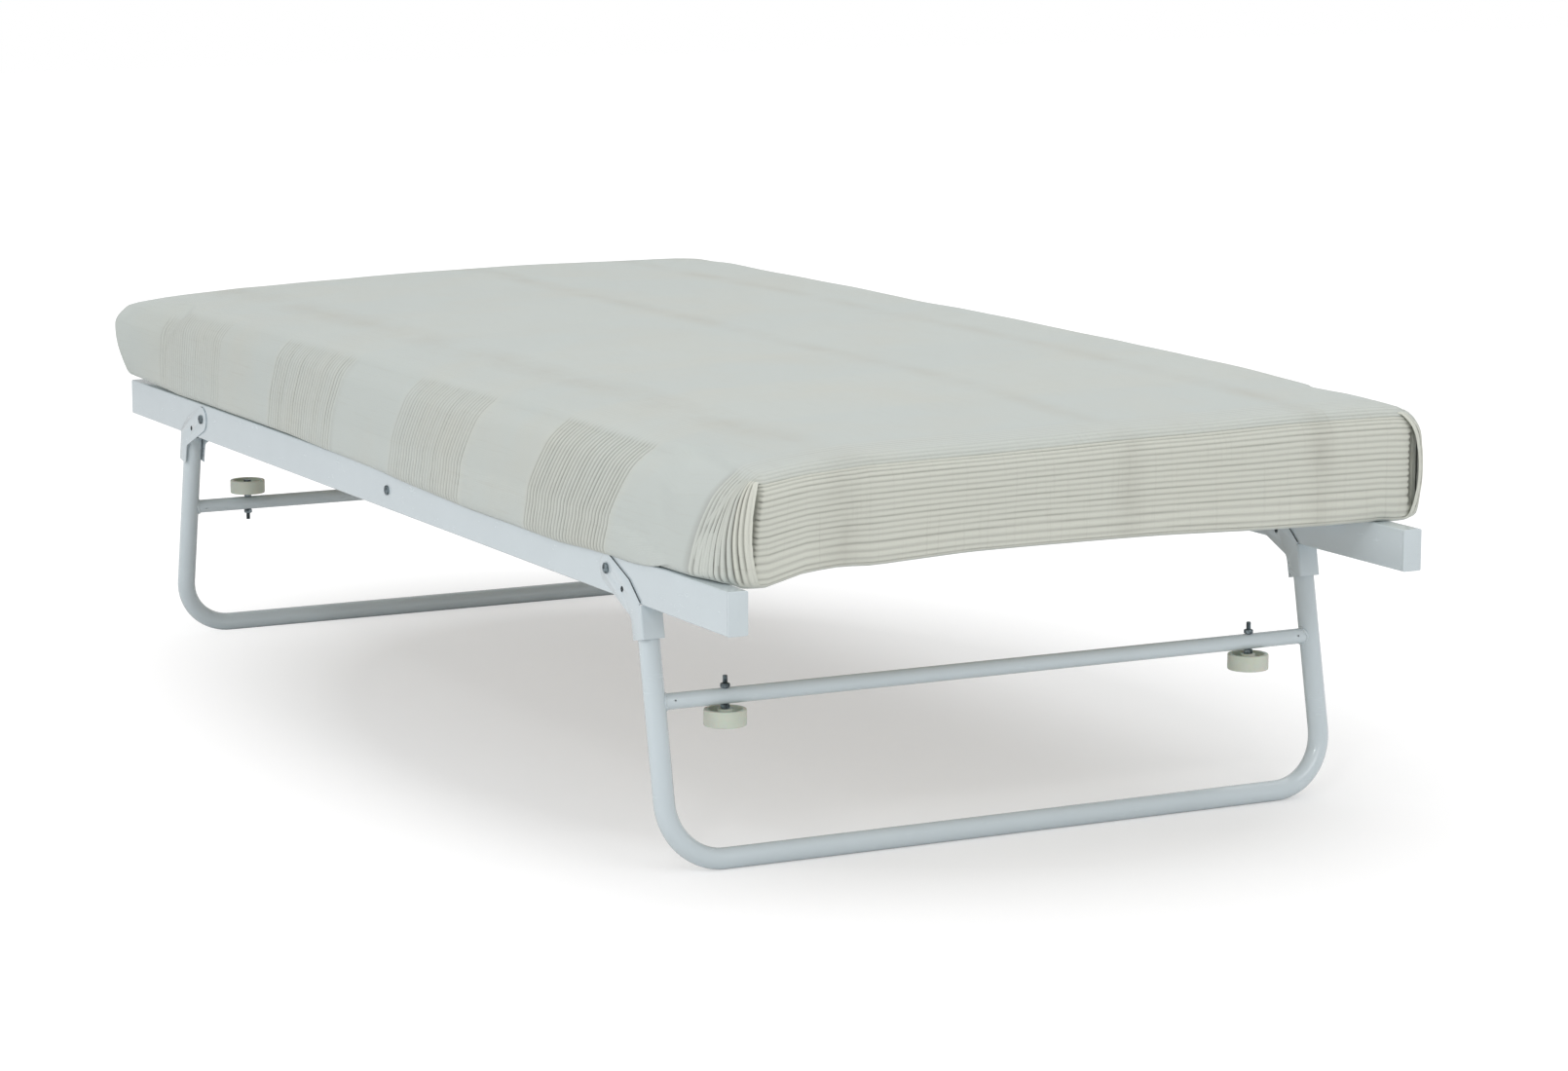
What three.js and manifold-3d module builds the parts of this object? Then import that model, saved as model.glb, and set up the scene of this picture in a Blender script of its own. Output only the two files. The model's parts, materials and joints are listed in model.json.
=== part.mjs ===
// A folding cot: two side rails with wooden slats and a mattress, carried by a
// U-shaped tube leg frame at each end. Each leg frame hinges on two bolts and
// folds in under the bed, where its two wheels meet the floor.
//
// Millimetres, +Z up, floor at z = 0, origin on the floor under the bed's middle.
// +X is the foot end, +Y the sleeper's left.

import * as THREE from 'three';
import { mergeVertices } from 'three/addons/utils/BufferGeometryUtils.js';
import Module from 'manifold-3d';

const wasm = await Module();
wasm.setup();

// ---------------------------------------------------------------- sizes

// Side rails, rectangular tube
const railLength = 1980;
const railHeight = 50;
const railWidth = 25;
const railWall = 1.5;
const railCornerRadius = 2;
const frameWidth = 915; // over the outer faces of the two rails

// Plastic caps in the rail ends
const capFlange = 2;
const capPlugLength = 18;
const capPlugWall = 2;

// Leg frames, seen from the side at rest
const legSplay = THREE.MathUtils.degToRad(11.5); // lean of the legs out from the vertical
const legReach = 342.5; // along the leg, from beside the pivot to the foot bar
const legOffset = 67; // from the pivot out to the leg's axis
const legTubeDiameter = 25;
const legTubeWall = 1.5;
const legBendRadius = 70;
const pivotInset = 306; // from the rail's end in to the pivot
const pivotAboveRailBottom = 29;

// Crossbar between the legs
const crossbarDiameter = 19;
const crossbarWall = 1.2;
const crossbarAboveFoot = 184.5; // along the leg

// Brackets of folded sheet
const bracketSheet = 1.5;
const bracketEndRadius = 18; // round end about the pivot
const bracketArmSlope = THREE.MathUtils.degToRad(22);
const bracketShoulder = { x: 60, z: -4 }; // outer edge's kink, from the pivot
const bracketBackX = 62; // where the arm's lower edge starts to curve down
const bracketBackDrop = 10; // height of that curve where it meets the socket's free edge
const bracketDepth = 26; // across the socket, from the fold to the free edges
const bracketSocketLength = 42;
const lockHoleDiameter = 6;
const lockHole = { x: 42, z: -18 }; // from the pivot
const rivetHoleDiameter = 2.6;
const rivetHoleHeights = [18, 11, 4]; // above the socket's mouth, on the inner cheek
const rivetHoleInset = 4; // from the free edge

// Pivot bolts, with a plain shoulder that the leg turns on, and the screws of the centre tie
const boltDiameter = 6;
const pivotShoulderDiameter = 8;
const panHeadDiameter = 12.7;
const panHeadHeight = 3.4;
const panHeadRim = 1.4; // straight part of the head's side
const recessLength = 6;
const recessWidth = 1.1;
const recessDepth = 1.8;
const nutAcrossFlats = 10;
const nutHeight = 5;
const pivotThreadPastNut = 2;

// Wheels on upright axle bolts
const wheelDiameter = 50;
const wheelWidth = 19;
const wheelRimThickness = 5;
const wheelWebThickness = 5;
const wheelHubDiameter = 17.6;
const wheelHeadRecess = 4.5; // the hub's far end lies this deep in the rim
const wheelEdgeRadius = 1.2;
const wheelToLeg = 89; // between an axle bolt and the axis of the leg beside it
const hexHeadHeight = 4;
const axleThreadPastNut = 9.4;

// Ties between the rails
const crossTubeDiameter = 22;
const crossTubeWall = 1.5;
const crossTubeToPivot = 84; // from a pivot in to the nearer end tie
const centreTubeX = 14;
const centreTubePlugLength = 22; // threaded ends of the centre tie

// Slats, and the angle ledges that carry them along the rails
const slatCount = 12;
const slatInset = 154; // from the rail's end in to the middle of the last slat
const slatWidth = 60;
const slatThickness = 8;
const slatBow = 7;
const slatSteps = 10; // straight runs that make up its curve
const ledgeSheet = 2;
const ledgeFlange = 27;
const ledgeHeight = 10;
const ledgePastSlats = 4;
const ledgeBelowRailTop = 2;
const ledgeNotch = { from: -26, to: 38 }; // cut out for the bracket's inner cheek, from the pivot
const slatStudDiameter = 6;
const slatStudHeight = 5;
const slatStudInset = 12; // from the slat's end

// Mattress
const mattressInset = 10; // from the rail's end in to the mattress
const mattressOverhang = 0; // past the outer face of the rail
const mattressEdgeHeight = 120;
const mattressCrown = 22;
const mattressCornerRadius = 34;
const mattressTurn = THREE.MathUtils.degToRad(2.5); // it lies slightly askew
const coverThickness = 3;
const zipLength = 700; // the cover's opening, across its underside near the head end
const zipWidth = 6;
const zipFromEnd = 70;

// Clearances
const fit = 0.3; // between fitted or touching pieces
const boltClearance = 0.3; // around a bolt in its hole
const cheekClearance = 0.3; // between a bracket's cheek and the leg tube
const mattressSeat = 0.3;

// Facets of the round pieces
const tubeSides = 16;
const boltSides = 12;
const studSides = 8;
const wheelSides = 24;
const bendSteps = 6;

// ---------------------------------------------------------------- derived places

const legTubeRadius = legTubeDiameter / 2;
const crossbarRadius = crossbarDiameter / 2;
const boltRadius = boltDiameter / 2;
const pivotShoulderRadius = pivotShoulderDiameter / 2;
const wheelRadius = wheelDiameter / 2;

const railCentreY = (frameWidth - railWidth) / 2;
const railInnerY = railCentreY - railWidth / 2;
const railSpan = 2 * railInnerY;
const axleY = railCentreY - wheelToLeg;

// The foot bar lies on the floor, which sets the height of the pivots.
const alongLeg = new THREE.Vector3(Math.sin(legSplay), 0, -Math.cos(legSplay));
const awayFromPivot = new THREE.Vector3(Math.cos(legSplay), 0, Math.sin(legSplay));
const legPoint = (distance, y = 0, offset = legOffset) => new THREE.Vector3(0, y, 0)
  .addScaledVector(awayFromPivot, offset)
  .addScaledVector(alongLeg, distance);
const pivotX = railLength / 2 - pivotInset;
const crossTubeX = pivotX - crossTubeToPivot;
const slatPitch = (railLength - 2 * slatInset) / (slatCount - 1);
const mattressLength = railLength - 2 * mattressInset;
const mattressWidth = frameWidth + 2 * mattressOverhang;
const pivotZ = legTubeRadius - legPoint(legReach).z;
const railBottomZ = pivotZ - pivotAboveRailBottom;
const railCentreZ = railBottomZ + railHeight / 2;
const railTopZ = railBottomZ + railHeight;

// Facets lie outside the true circle, so that a tube's flats are at its radius.
const facetRadius = (radius, sides) => radius / Math.cos(Math.PI / sides);

// Bracket widths: the cheeks clear the leg tube and straddle the rail.
const bracketInnerHalf = facetRadius(legTubeRadius, tubeSides) + cheekClearance;
const bracketOuterHalf = bracketInnerHalf + bracketSheet;
const foldOffset = legOffset + legTubeRadius + fit + bracketSheet; // the fold's outer face
const railUnderside = -pivotAboveRailBottom; // heights from the pivot
const webTop = railUnderside - fit;
const socketTop = legAt(webTop);
const socketBottom = socketTop + bracketSocketLength;

// How far along the leg a height lies, on a line that runs beside the leg's axis.
function legAt(z, offset = legOffset) {
  return (legPoint(0, 0, offset).z - z) / Math.cos(legSplay);
}

// ---------------------------------------------------------------- materials

const finish = (color, roughness, metalness) => (
  new THREE.MeshStandardMaterial({ color, roughness, metalness })
);

const materials = {
  paintedSteel: () => finish(0xd9e2e6, 0.3, 0),
  whitePlastic: () => finish(0xdde3e6, 0.45, 0),
  zinc: () => finish(0x9aa3a6, 0.35, 1),
  nylon: () => finish(0xdfe2d4, 0.5, 0),
  wood: () => finish(0xd9b98a, 0.55, 0),
  foam: () => finish(0xe9e2c8, 0.9, 0),
  woven: () => finish(0xd6d8d0, 0.95, 0),
};

// ---------------------------------------------------------------- solids

// A closed geometry as a manifold solid, its shared vertices merged.
function solid(geometry, ...placements) {
  const shell = geometry.clone();
  placements.forEach((placement) => shell.applyMatrix4(placement));
  shell.deleteAttribute('normal');
  shell.deleteAttribute('uv');
  const merged = mergeVertices(shell, 1e-4);
  const corners = Array.from(merged.index.array);
  const kept = [];
  for (let i = 0; i < corners.length; i += 3) {
    const [a, b, c] = corners.slice(i, i + 3);
    if (a !== b && b !== c && c !== a) kept.push(a, b, c);
  }
  return new wasm.Manifold(new wasm.Mesh({
    numProp: 3,
    vertProperties: new Float32Array(merged.attributes.position.array),
    triVerts: new Uint32Array(kept),
  }));
}

function toGeometry(manifold) {
  const { vertProperties, triVerts } = manifold.getMesh();
  const geometry = new THREE.BufferGeometry();
  geometry.setAttribute('position', new THREE.BufferAttribute(new Float32Array(vertProperties), 3));
  geometry.setIndex(new THREE.BufferAttribute(new Uint32Array(triVerts), 1));
  return geometry;
}

const union = (parts) => parts.reduce((whole, part) => whole.add(part));
const without = (whole, cuts) => cuts.reduce((rest, cut) => rest.subtract(cut), whole);

const at = (x, y, z) => new THREE.Matrix4().makeTranslation(x, y, z);
const tiltedAboutY = (angle) => new THREE.Matrix4().makeRotationY(angle);

// Extrusions: the shape's own plane and the direction that it is drawn out in.
const alongX = new THREE.Matrix4().set(0, 0, 1, 0, 1, 0, 0, 0, 0, 1, 0, 0, 0, 0, 0, 1); // shape in Y-Z
const alongY = new THREE.Matrix4().set(1, 0, 0, 0, 0, 0, -1, 0, 0, 1, 0, 0, 0, 0, 0, 1); // shape in X-Z

function extrusion(shape, length, curveSegments = 4) {
  const geometry = new THREE.ExtrudeGeometry(shape, { depth: length, bevelEnabled: false, curveSegments });
  return geometry.translate(0, 0, -length / 2);
}

const box = (x, y, z) => new THREE.BoxGeometry(x, y, z);

// A round bar along Z, or along Y, with facets outside its true circle.
function bar(radius, length, sides = boltSides) {
  const around = facetRadius(radius, sides);
  return new THREE.CylinderGeometry(around, around, length, sides).rotateX(Math.PI / 2);
}

const barAlongY = (radius, length, sides) => bar(radius, length, sides).rotateX(Math.PI / 2);

function roundedRectangle(width, height, radius, path = new THREE.Shape()) {
  const x = width / 2;
  const y = height / 2;
  path.moveTo(x, -y + radius);
  path.lineTo(x, y - radius);
  path.absarc(x - radius, y - radius, radius, 0, Math.PI / 2);
  path.absarc(-x + radius, y - radius, radius, Math.PI / 2, Math.PI);
  path.absarc(-x + radius, -y + radius, radius, Math.PI, 1.5 * Math.PI);
  path.absarc(x - radius, -y + radius, radius, 1.5 * Math.PI, 2 * Math.PI);
  return path;
}

// A regular outline: its flats are at the given distance from the middle.
function regularOutline(apothem, sides, turn = 0, path = new THREE.Shape()) {
  const radius = facetRadius(apothem, sides);
  for (let i = 0; i < sides; i += 1) {
    const angle = turn + ((i + 0.5) * 2 * Math.PI) / sides;
    const point = [radius * Math.cos(angle), radius * Math.sin(angle)];
    if (i === 0) path.moveTo(...point);
    else path.lineTo(...point);
  }
  path.closePath();
  return path;
}

function ringOutline(outerRadius, innerRadius, sides, turn = 0) {
  const outline = regularOutline(outerRadius, sides, turn);
  outline.holes.push(regularOutline(innerRadius, sides, turn, new THREE.Path()));
  return outline;
}

// ---------------------------------------------------------------- the model

const cot = new THREE.Group();

function place(name, geometry, material, parent = cot) {
  const mesh = new THREE.Mesh(geometry, material());
  mesh.name = name;
  parent.add(mesh);
  return mesh;
}

const sides = [
  { name: 'left', y: 1 },
  { name: 'right', y: -1 },
];
const ends = [
  { name: 'head', x: -1 },
  { name: 'foot', x: 1 },
];
const opposite = (side) => sides.find((other) => other !== side);

const slatPlaces = [];
for (let i = 0; i < slatCount; i += 1) slatPlaces.push((i - (slatCount - 1) / 2) * slatPitch);

const ledgeTopZ = railTopZ - ledgeBelowRailTop;
const ledgeFloorZ = ledgeTopZ - ledgeHeight + ledgeSheet; // upper face of the flange
const slatCentreZ = ledgeFloorZ + fit + slatThickness / 2;
const slatTopZ = slatCentreZ + slatThickness / 2;

// --- side rails and their caps

function sideRail(side) {
  const section = roundedRectangle(railWidth, railHeight, railCornerRadius);
  const boreWidth = railWidth - 2 * railWall;
  const boreHeight = railHeight - 2 * railWall;
  section.holes.push(roundedRectangle(boreWidth, boreHeight, railCornerRadius / 2, new THREE.Path()));
  const y = side.y * railCentreY;
  const tube = solid(extrusion(section, railLength, 2), alongX, at(0, y, railCentreZ));
  const pivotHole = barAlongY(pivotShoulderRadius + boltClearance, railWidth * 2);
  const holes = ends.map((end) => solid(pivotHole, at(end.x * pivotX, y, pivotZ)));
  const tieHole = barAlongY(boltRadius + boltClearance, railWidth * 2);
  holes.push(solid(tieHole, at(centreTubeX, y, railCentreZ)));
  return toGeometry(without(tube, holes));
}

function railEndCap(side, end) {
  const flange = extrusion(roundedRectangle(railWidth, railHeight, railCornerRadius), capFlange, 2);
  const plugWidth = railWidth - 2 * (railWall + fit);
  const plugHeight = railHeight - 2 * (railWall + fit);
  const plug = solid(box(capPlugLength, plugWidth, plugHeight))
    .subtract(solid(box(capPlugLength * 2, plugWidth - 2 * capPlugWall, plugHeight - 2 * capPlugWall)));
  const flangeX = railLength / 2 + fit + capFlange / 2;
  const plugX = flangeX - (capFlange + capPlugLength) / 2;
  const y = side.y * railCentreY;
  const cap = solid(flange, alongX, at(end.x * flangeX, y, railCentreZ))
    .add(plug.translate([end.x * plugX, y, railCentreZ]));
  return toGeometry(cap);
}

for (const side of sides) {
  place(`side_rail_${side.name}`, sideRail(side), materials.paintedSteel);
  for (const end of ends) {
    place(`rail_end_cap_${side.name}_${end.name}`, railEndCap(side, end), materials.whitePlastic);
  }
}

// --- ties between the rails

const crossTubeLength = railSpan - 2 * fit;

function crossTube() {
  const ring = ringOutline(crossTubeDiameter / 2, crossTubeDiameter / 2 - crossTubeWall, tubeSides);
  return solid(extrusion(ring, crossTubeLength), alongY);
}

for (const end of ends) {
  const tube = place(`cross_tube_${end.name}`, toGeometry(crossTube()), materials.paintedSteel);
  tube.position.set(end.x * crossTubeX, 0, railCentreZ);
}

// The centre tie's ends are filled and threaded for a screw through each rail.
const plugRadius = (crossTubeDiameter - crossTubeWall) / 2; // reaches into the tube's wall
const plugOutline = ringOutline(plugRadius, boltRadius + boltClearance, tubeSides);
const plugY = (crossTubeLength - centreTubePlugLength) / 2;
const plugs = sides.map((side) => solid(
  extrusion(plugOutline, centreTubePlugLength),
  alongY,
  at(0, side.y * plugY, 0),
));
const centreTube = toGeometry(union([crossTube(), ...plugs]));
place('cross_tube_centre', centreTube, materials.paintedSteel).position.set(centreTubeX, 0, railCentreZ);

// --- bolts and nuts

// A pan-head bolt along +Z, its head's seat at z = 0 and its shank below. It may have a
// thicker plain shoulder under the head.
function panHeadBolt(length, shoulderRadius = boltRadius, shoulderLength = 0) {
  const headRadius = panHeadDiameter / 2;
  const outline = new THREE.Path();
  outline.moveTo(0, -length);
  outline.lineTo(boltRadius, -length);
  outline.lineTo(boltRadius, -shoulderLength);
  if (shoulderLength > 0) {
    outline.lineTo(shoulderRadius, -shoulderLength);
    outline.lineTo(shoulderRadius, 0);
  }
  outline.lineTo(headRadius, 0);
  outline.lineTo(headRadius, panHeadRim);
  outline.quadraticCurveTo(headRadius, panHeadHeight, 0, panHeadHeight);
  const turned = new THREE.LatheGeometry(outline.getPoints(4), boltSides).rotateX(Math.PI / 2);
  const recess = at(0, 0, panHeadHeight - recessDepth / 2);
  const slots = [
    solid(box(recessLength, recessWidth, recessDepth), recess),
    solid(box(recessWidth, recessLength, recessDepth), recess),
  ];
  return toGeometry(without(solid(turned), slots));
}

// Turns a bolt so that its shank points in from the outer face of a rail or bracket.
const inwardsFrom = (side) => (-side.y * Math.PI) / 2;

function nut() {
  const outline = regularOutline(nutAcrossFlats / 2, 6);
  outline.holes.push(regularOutline(boltRadius + boltClearance, boltSides, 0, new THREE.Path()));
  return extrusion(outline, nutHeight);
}

const centreBoltLength = railWidth + 2 * fit + centreTubePlugLength;
for (const side of sides) {
  const bolt = place(`centre_tube_bolt_${side.name}`, panHeadBolt(centreBoltLength), materials.zinc);
  bolt.rotation.x = inwardsFrom(side);
  bolt.position.set(centreTubeX, side.y * (frameWidth / 2 + fit), railCentreZ);
}

const pivotHeadY = railCentreY + bracketOuterHalf + fit;
const pivotShoulderEndY = railCentreY - bracketOuterHalf - fit;
const pivotNutY = pivotShoulderEndY - fit - nutHeight / 2;
const pivotBoltLength = pivotHeadY - pivotNutY + nutHeight / 2 + pivotThreadPastNut;

for (const end of ends) {
  for (const side of sides) {
    const name = `${end.name}_${side.name}`;
    const shoulderLength = pivotHeadY - pivotShoulderEndY;
    const boltShape = panHeadBolt(pivotBoltLength, pivotShoulderRadius, shoulderLength);
    const bolt = place(`pivot_bolt_${name}`, boltShape, materials.zinc);
    bolt.rotation.x = inwardsFrom(side);
    bolt.position.set(end.x * pivotX, side.y * pivotHeadY, pivotZ);
    const pivotNut = place(`pivot_nut_${name}`, nut().applyMatrix4(alongY), materials.zinc);
    pivotNut.position.set(end.x * pivotX, side.y * pivotNutY, pivotZ);
  }
}

// --- slats, and the ledges that carry them

const slatEndY = railInnerY - ledgeSheet - 2 * fit;
const slatFlatY = railInnerY - ledgeFlange - fit; // the slat is straight where it lies on a ledge
const slatStudY = slatEndY - slatStudInset;

function slatRise(y) {
  const share = Math.min(Math.abs(y) / slatFlatY, 1);
  return slatBow * (1 - share ** 2) ** 2;
}

function slat() {
  const stations = [-slatEndY];
  for (let i = 0; i <= slatSteps; i += 1) stations.push(slatFlatY * ((2 * i) / slatSteps - 1));
  stations.push(slatEndY);
  const lower = stations.map((y) => new THREE.Vector2(y, slatRise(y) - slatThickness / 2));
  const upper = stations.map((y) => new THREE.Vector2(y, slatRise(y) + slatThickness / 2)).reverse();
  const board = solid(extrusion(new THREE.Shape([...lower, ...upper]), slatWidth), alongX);
  const studHole = bar(slatStudDiameter / 2 + fit, 2 * slatThickness, studSides);
  return toGeometry(without(board, sides.map((side) => solid(studHole, at(0, side.y * slatStudY, 0)))));
}

slatPlaces.forEach((x, index) => {
  const number = String(index + 1).padStart(2, '0');
  place(`slat_${number}`, slat(), materials.wood).position.set(x, 0, slatCentreZ);
});

// A steel angle along the rail's inner face, with a stud for each slat.
function slatLedge(side) {
  const length = slatPlaces.at(-1) - slatPlaces[0] + slatWidth + 2 * ledgePastSlats;
  const wallY = railInnerY - fit - ledgeSheet / 2;
  const flangeY = railInnerY - fit - ledgeFlange / 2;
  const wallPlace = at(0, side.y * wallY, ledgeTopZ - ledgeHeight / 2);
  const wall = solid(box(length, ledgeSheet, ledgeHeight), wallPlace);
  const flangePlace = at(0, side.y * flangeY, ledgeFloorZ - ledgeSheet / 2);
  const flange = solid(box(length, ledgeFlange, ledgeSheet), flangePlace);
  const stud = bar(slatStudDiameter / 2, slatStudHeight + ledgeSheet, studSides);
  const studZ = ledgeFloorZ + (slatStudHeight - ledgeSheet) / 2;
  const studs = slatPlaces.map((x) => solid(stud, at(x, side.y * slatStudY, studZ)));
  const notchDepth = railCentreY - bracketOuterHalf - pivotNutY + fit;
  const notchY = railInnerY - fit - notchDepth / 2;
  const notches = ends.map((end) => solid(
    box(ledgeNotch.to - ledgeNotch.from, notchDepth, 4 * ledgeHeight),
    at(end.x * (pivotX + (ledgeNotch.from + ledgeNotch.to) / 2), side.y * notchY, ledgeTopZ),
  ));
  return toGeometry(without(union([wall, flange, ...studs]), notches));
}

for (const side of sides) place(`slat_ledge_${side.name}`, slatLedge(side), materials.paintedSteel);

// --- mattress: a foam core in a cover that opens underneath

const mattressBottomZ = slatTopZ + slatBow + mattressSeat;

function mattressBlock(inset) {
  const round = mattressCornerRadius;
  const x = mattressWidth / 2 - round;
  const bottom = round;
  const edge = mattressEdgeHeight - round;
  const section = new THREE.Shape();
  section.moveTo(-x, bottom);
  section.lineTo(x, bottom);
  section.lineTo(x, edge);
  section.quadraticCurveTo(0, edge + 2 * mattressCrown, -x, edge);
  section.closePath();
  const geometry = new THREE.ExtrudeGeometry(section, {
    depth: mattressLength - 2 * round,
    curveSegments: 8,
    bevelSize: round - inset,
    bevelThickness: round - inset,
    bevelSegments: 4,
  });
  geometry.translate(0, 0, round - mattressLength / 2);
  const turned = new THREE.Matrix4().makeRotationZ(mattressTurn);
  return solid(geometry, alongX, turned, at(0, 0, mattressBottomZ));
}

const zipOpening = solid(
  box(zipWidth, zipLength, 4 * coverThickness),
  at(zipFromEnd - mattressLength / 2, 0, 0),
  new THREE.Matrix4().makeRotationZ(mattressTurn),
  at(0, 0, mattressBottomZ),
);
const mattressCover = without(mattressBlock(0), [mattressBlock(coverThickness), zipOpening]);
place('mattress_cover', toGeometry(mattressCover), materials.woven);
place('mattress_core', toGeometry(mattressBlock(coverThickness + fit)), materials.foam);

// --- leg frames, built about the pivot with +X pointing away from the bed's middle

// A path whose rings lie exactly at the given points, so straight runs stay plain.
class Stations extends THREE.Curve {
  constructor(points) {
    super();
    this.points = points;
  }

  getPointAt(share) {
    const last = this.points.length - 1;
    const index = Math.min(Math.round(share * last), last);
    return this.points[index].clone();
  }

  getTangentAt(share) {
    const last = this.points.length - 1;
    const index = Math.min(Math.round(share * last), last);
    const before = this.points[Math.max(index - 1, 0)];
    const after = this.points[Math.min(index + 1, last)];
    const here = this.points[index];
    const incoming = here.clone().sub(before).normalize();
    const outgoing = after.clone().sub(here).normalize();
    return incoming.add(outgoing).normalize();
  }
}

const legTopClearance = 2;
// The square-cut end's high side.
const legTopLift = facetRadius(legTubeRadius, tubeSides) * Math.sin(legSplay);
const legTopAt = legAt(railUnderside - legTopClearance - legTopLift);

function legTube() {
  const points = [legPoint(legTopAt, -railCentreY)];
  const bendCentre = { y: railCentreY - legBendRadius, along: legReach - legBendRadius };
  for (const side of [-1, 1]) {
    for (let i = 0; i <= bendSteps; i += 1) {
      const share = side < 0 ? i / bendSteps : 1 - i / bendSteps;
      const angle = (share * Math.PI) / 2;
      const y = side * (bendCentre.y + legBendRadius * Math.cos(angle));
      points.push(legPoint(bendCentre.along + legBendRadius * Math.sin(angle), y));
    }
  }
  points.push(legPoint(legTopAt, railCentreY));
  // The section is turned so that one flat of the foot bar lies on the floor.
  const section = ringOutline(legTubeRadius, legTubeRadius - legTubeWall, tubeSides, legSplay);
  return new THREE.ExtrudeGeometry(section, {
    steps: points.length - 1,
    extrudePath: new Stations(points),
    curveSegments: 1,
  });
}

const crossbarAt = legReach - crossbarAboveFoot;
const crossbarCentre = legPoint(crossbarAt);

function crossbar() {
  const ring = ringOutline(crossbarRadius, crossbarRadius - crossbarWall, tubeSides);
  const tube = solid(extrusion(ring, 2 * railCentreY), alongY);
  const legRadius = facetRadius(legTubeRadius, tubeSides) + fit;
  const leg = bar(legRadius, crossbarDiameter * 4, tubeSides);
  const copes = sides.map((side) => solid(leg, tiltedAboutY(-legSplay), at(0, side.y * railCentreY, 0)));
  const pastLegs = sides.map((side) => solid(
    box(crossbarDiameter * 4, legRadius, crossbarDiameter * 2),
    at(0, side.y * (railCentreY + legRadius / 2), 0),
  ));
  const boltHole = bar(boltRadius + boltClearance, crossbarDiameter * 2);
  const boltHoles = sides.map((side) => solid(boltHole, at(0, side.y * axleY, 0)));
  return toGeometry(without(tube, [...copes, ...pastLegs, ...boltHoles]));
}

// A bracket's side outline, from the pivot: the arm, then the socket along the leg.
function bracketOutline() {
  const freeOffset = foldOffset - bracketDepth;
  const mouthFold = legPoint(socketBottom, 0, foldOffset);
  const mouthFree = legPoint(socketBottom, 0, freeOffset);
  const foldTop = legPoint(socketTop, 0, foldOffset);
  const armDown = Math.tan(bracketArmSlope);
  const tangentAngle = -Math.PI / 2 - bracketArmSlope;
  const tangent = {
    x: bracketEndRadius * Math.cos(tangentAngle),
    z: bracketEndRadius * Math.sin(tangentAngle),
  };
  const back = { x: bracketBackX, z: tangent.z - (bracketBackX - tangent.x) * armDown };
  // Where the arm's lower edge would meet the socket's free edge.
  const free = (z) => mouthFree.x - (z - mouthFree.z) * Math.tan(legSplay);
  const cornerZ = back.z - (free(back.z) - back.x) * armDown;
  const shoulderAngle = Math.atan2(bracketShoulder.z, bracketShoulder.x);
  const shoulderReach = Math.hypot(bracketShoulder.x, bracketShoulder.z);
  const topAngle = shoulderAngle + Math.acos(bracketEndRadius / shoulderReach);
  const outline = new THREE.Shape();
  outline.moveTo(foldTop.x, foldTop.z);
  outline.lineTo(bracketShoulder.x, bracketShoulder.z);
  outline.absarc(0, 0, bracketEndRadius, topAngle, 2 * Math.PI + tangentAngle, false);
  outline.lineTo(back.x, back.z);
  const freeTopZ = cornerZ - bracketBackDrop;
  outline.quadraticCurveTo(free(cornerZ), cornerZ, free(freeTopZ), freeTopZ);
  outline.lineTo(mouthFree.x, mouthFree.z);
  outline.lineTo(mouthFold.x, mouthFold.z);
  outline.closePath();
  return outline;
}

// Everything between the cheeks, except for the strip that is folded round behind the leg.
function bracketChannel() {
  const far = 2 * legReach;
  const webInner = foldOffset - bracketSheet;
  const below = legPoint(far, 0, webInner);
  const top = legPoint(legAt(webTop, webInner), 0, webInner);
  const outline = new THREE.Shape();
  outline.moveTo(-far, -far);
  outline.lineTo(below.x, below.z);
  outline.lineTo(top.x, top.z);
  outline.lineTo(far, webTop);
  outline.lineTo(far, far);
  outline.lineTo(-far, far);
  outline.closePath();
  return outline;
}

function bracket(side) {
  const y = side.y * railCentreY;
  const plate = solid(extrusion(bracketOutline(), 2 * bracketOuterHalf, 5), alongY, at(0, y, 0));
  const channel = solid(extrusion(bracketChannel(), 2 * bracketInnerHalf), alongY, at(0, y, 0));
  const through = 4 * bracketOuterHalf;
  const pivotHole = solid(barAlongY(pivotShoulderRadius + boltClearance, through), at(0, y, 0));
  const lockOpening = solid(barAlongY(lockHoleDiameter / 2, through), at(lockHole.x, y, lockHole.z));
  const innerCheekY = y - (side.y * (bracketInnerHalf + bracketOuterHalf)) / 2;
  const rivets = rivetHoleHeights.map((height) => {
    const { x, z } = legPoint(socketBottom - height, 0, foldOffset - bracketDepth + rivetHoleInset);
    return solid(barAlongY(rivetHoleDiameter / 2, 2 * bracketSheet, studSides), at(x, innerCheekY, z));
  });
  return toGeometry(without(plate, [channel, pivotHole, lockOpening, ...rivets]));
}

// --- wheels on upright bolts, below the crossbar at the foot end and above it at the head end

// The wheel along Z, its far face (with the bolt's head) at the bottom.
function wheel() {
  const half = wheelWidth / 2;
  const web = wheelWebThickness / 2;
  const bore = boltRadius + boltClearance;
  const hub = wheelHubDiameter / 2;
  const rim = wheelRadius - wheelRimThickness;
  const edge = wheelEdgeRadius;
  const profile = [
    [bore, wheelHeadRecess - half],
    [hub, wheelHeadRecess - half],
    [hub, -web],
    [rim, -web],
    [rim, -half],
    [wheelRadius - edge, -half],
    [wheelRadius, edge - half],
    [wheelRadius, half - edge],
    [wheelRadius - edge, half],
    [rim, half],
    [rim, web],
    [hub, web],
    [hub, half],
    [bore, half],
    [bore, wheelHeadRecess - half],
  ].map(([x, y]) => new THREE.Vector2(x, y));
  return new THREE.LatheGeometry(profile, wheelSides).rotateX(Math.PI / 2);
}

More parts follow.
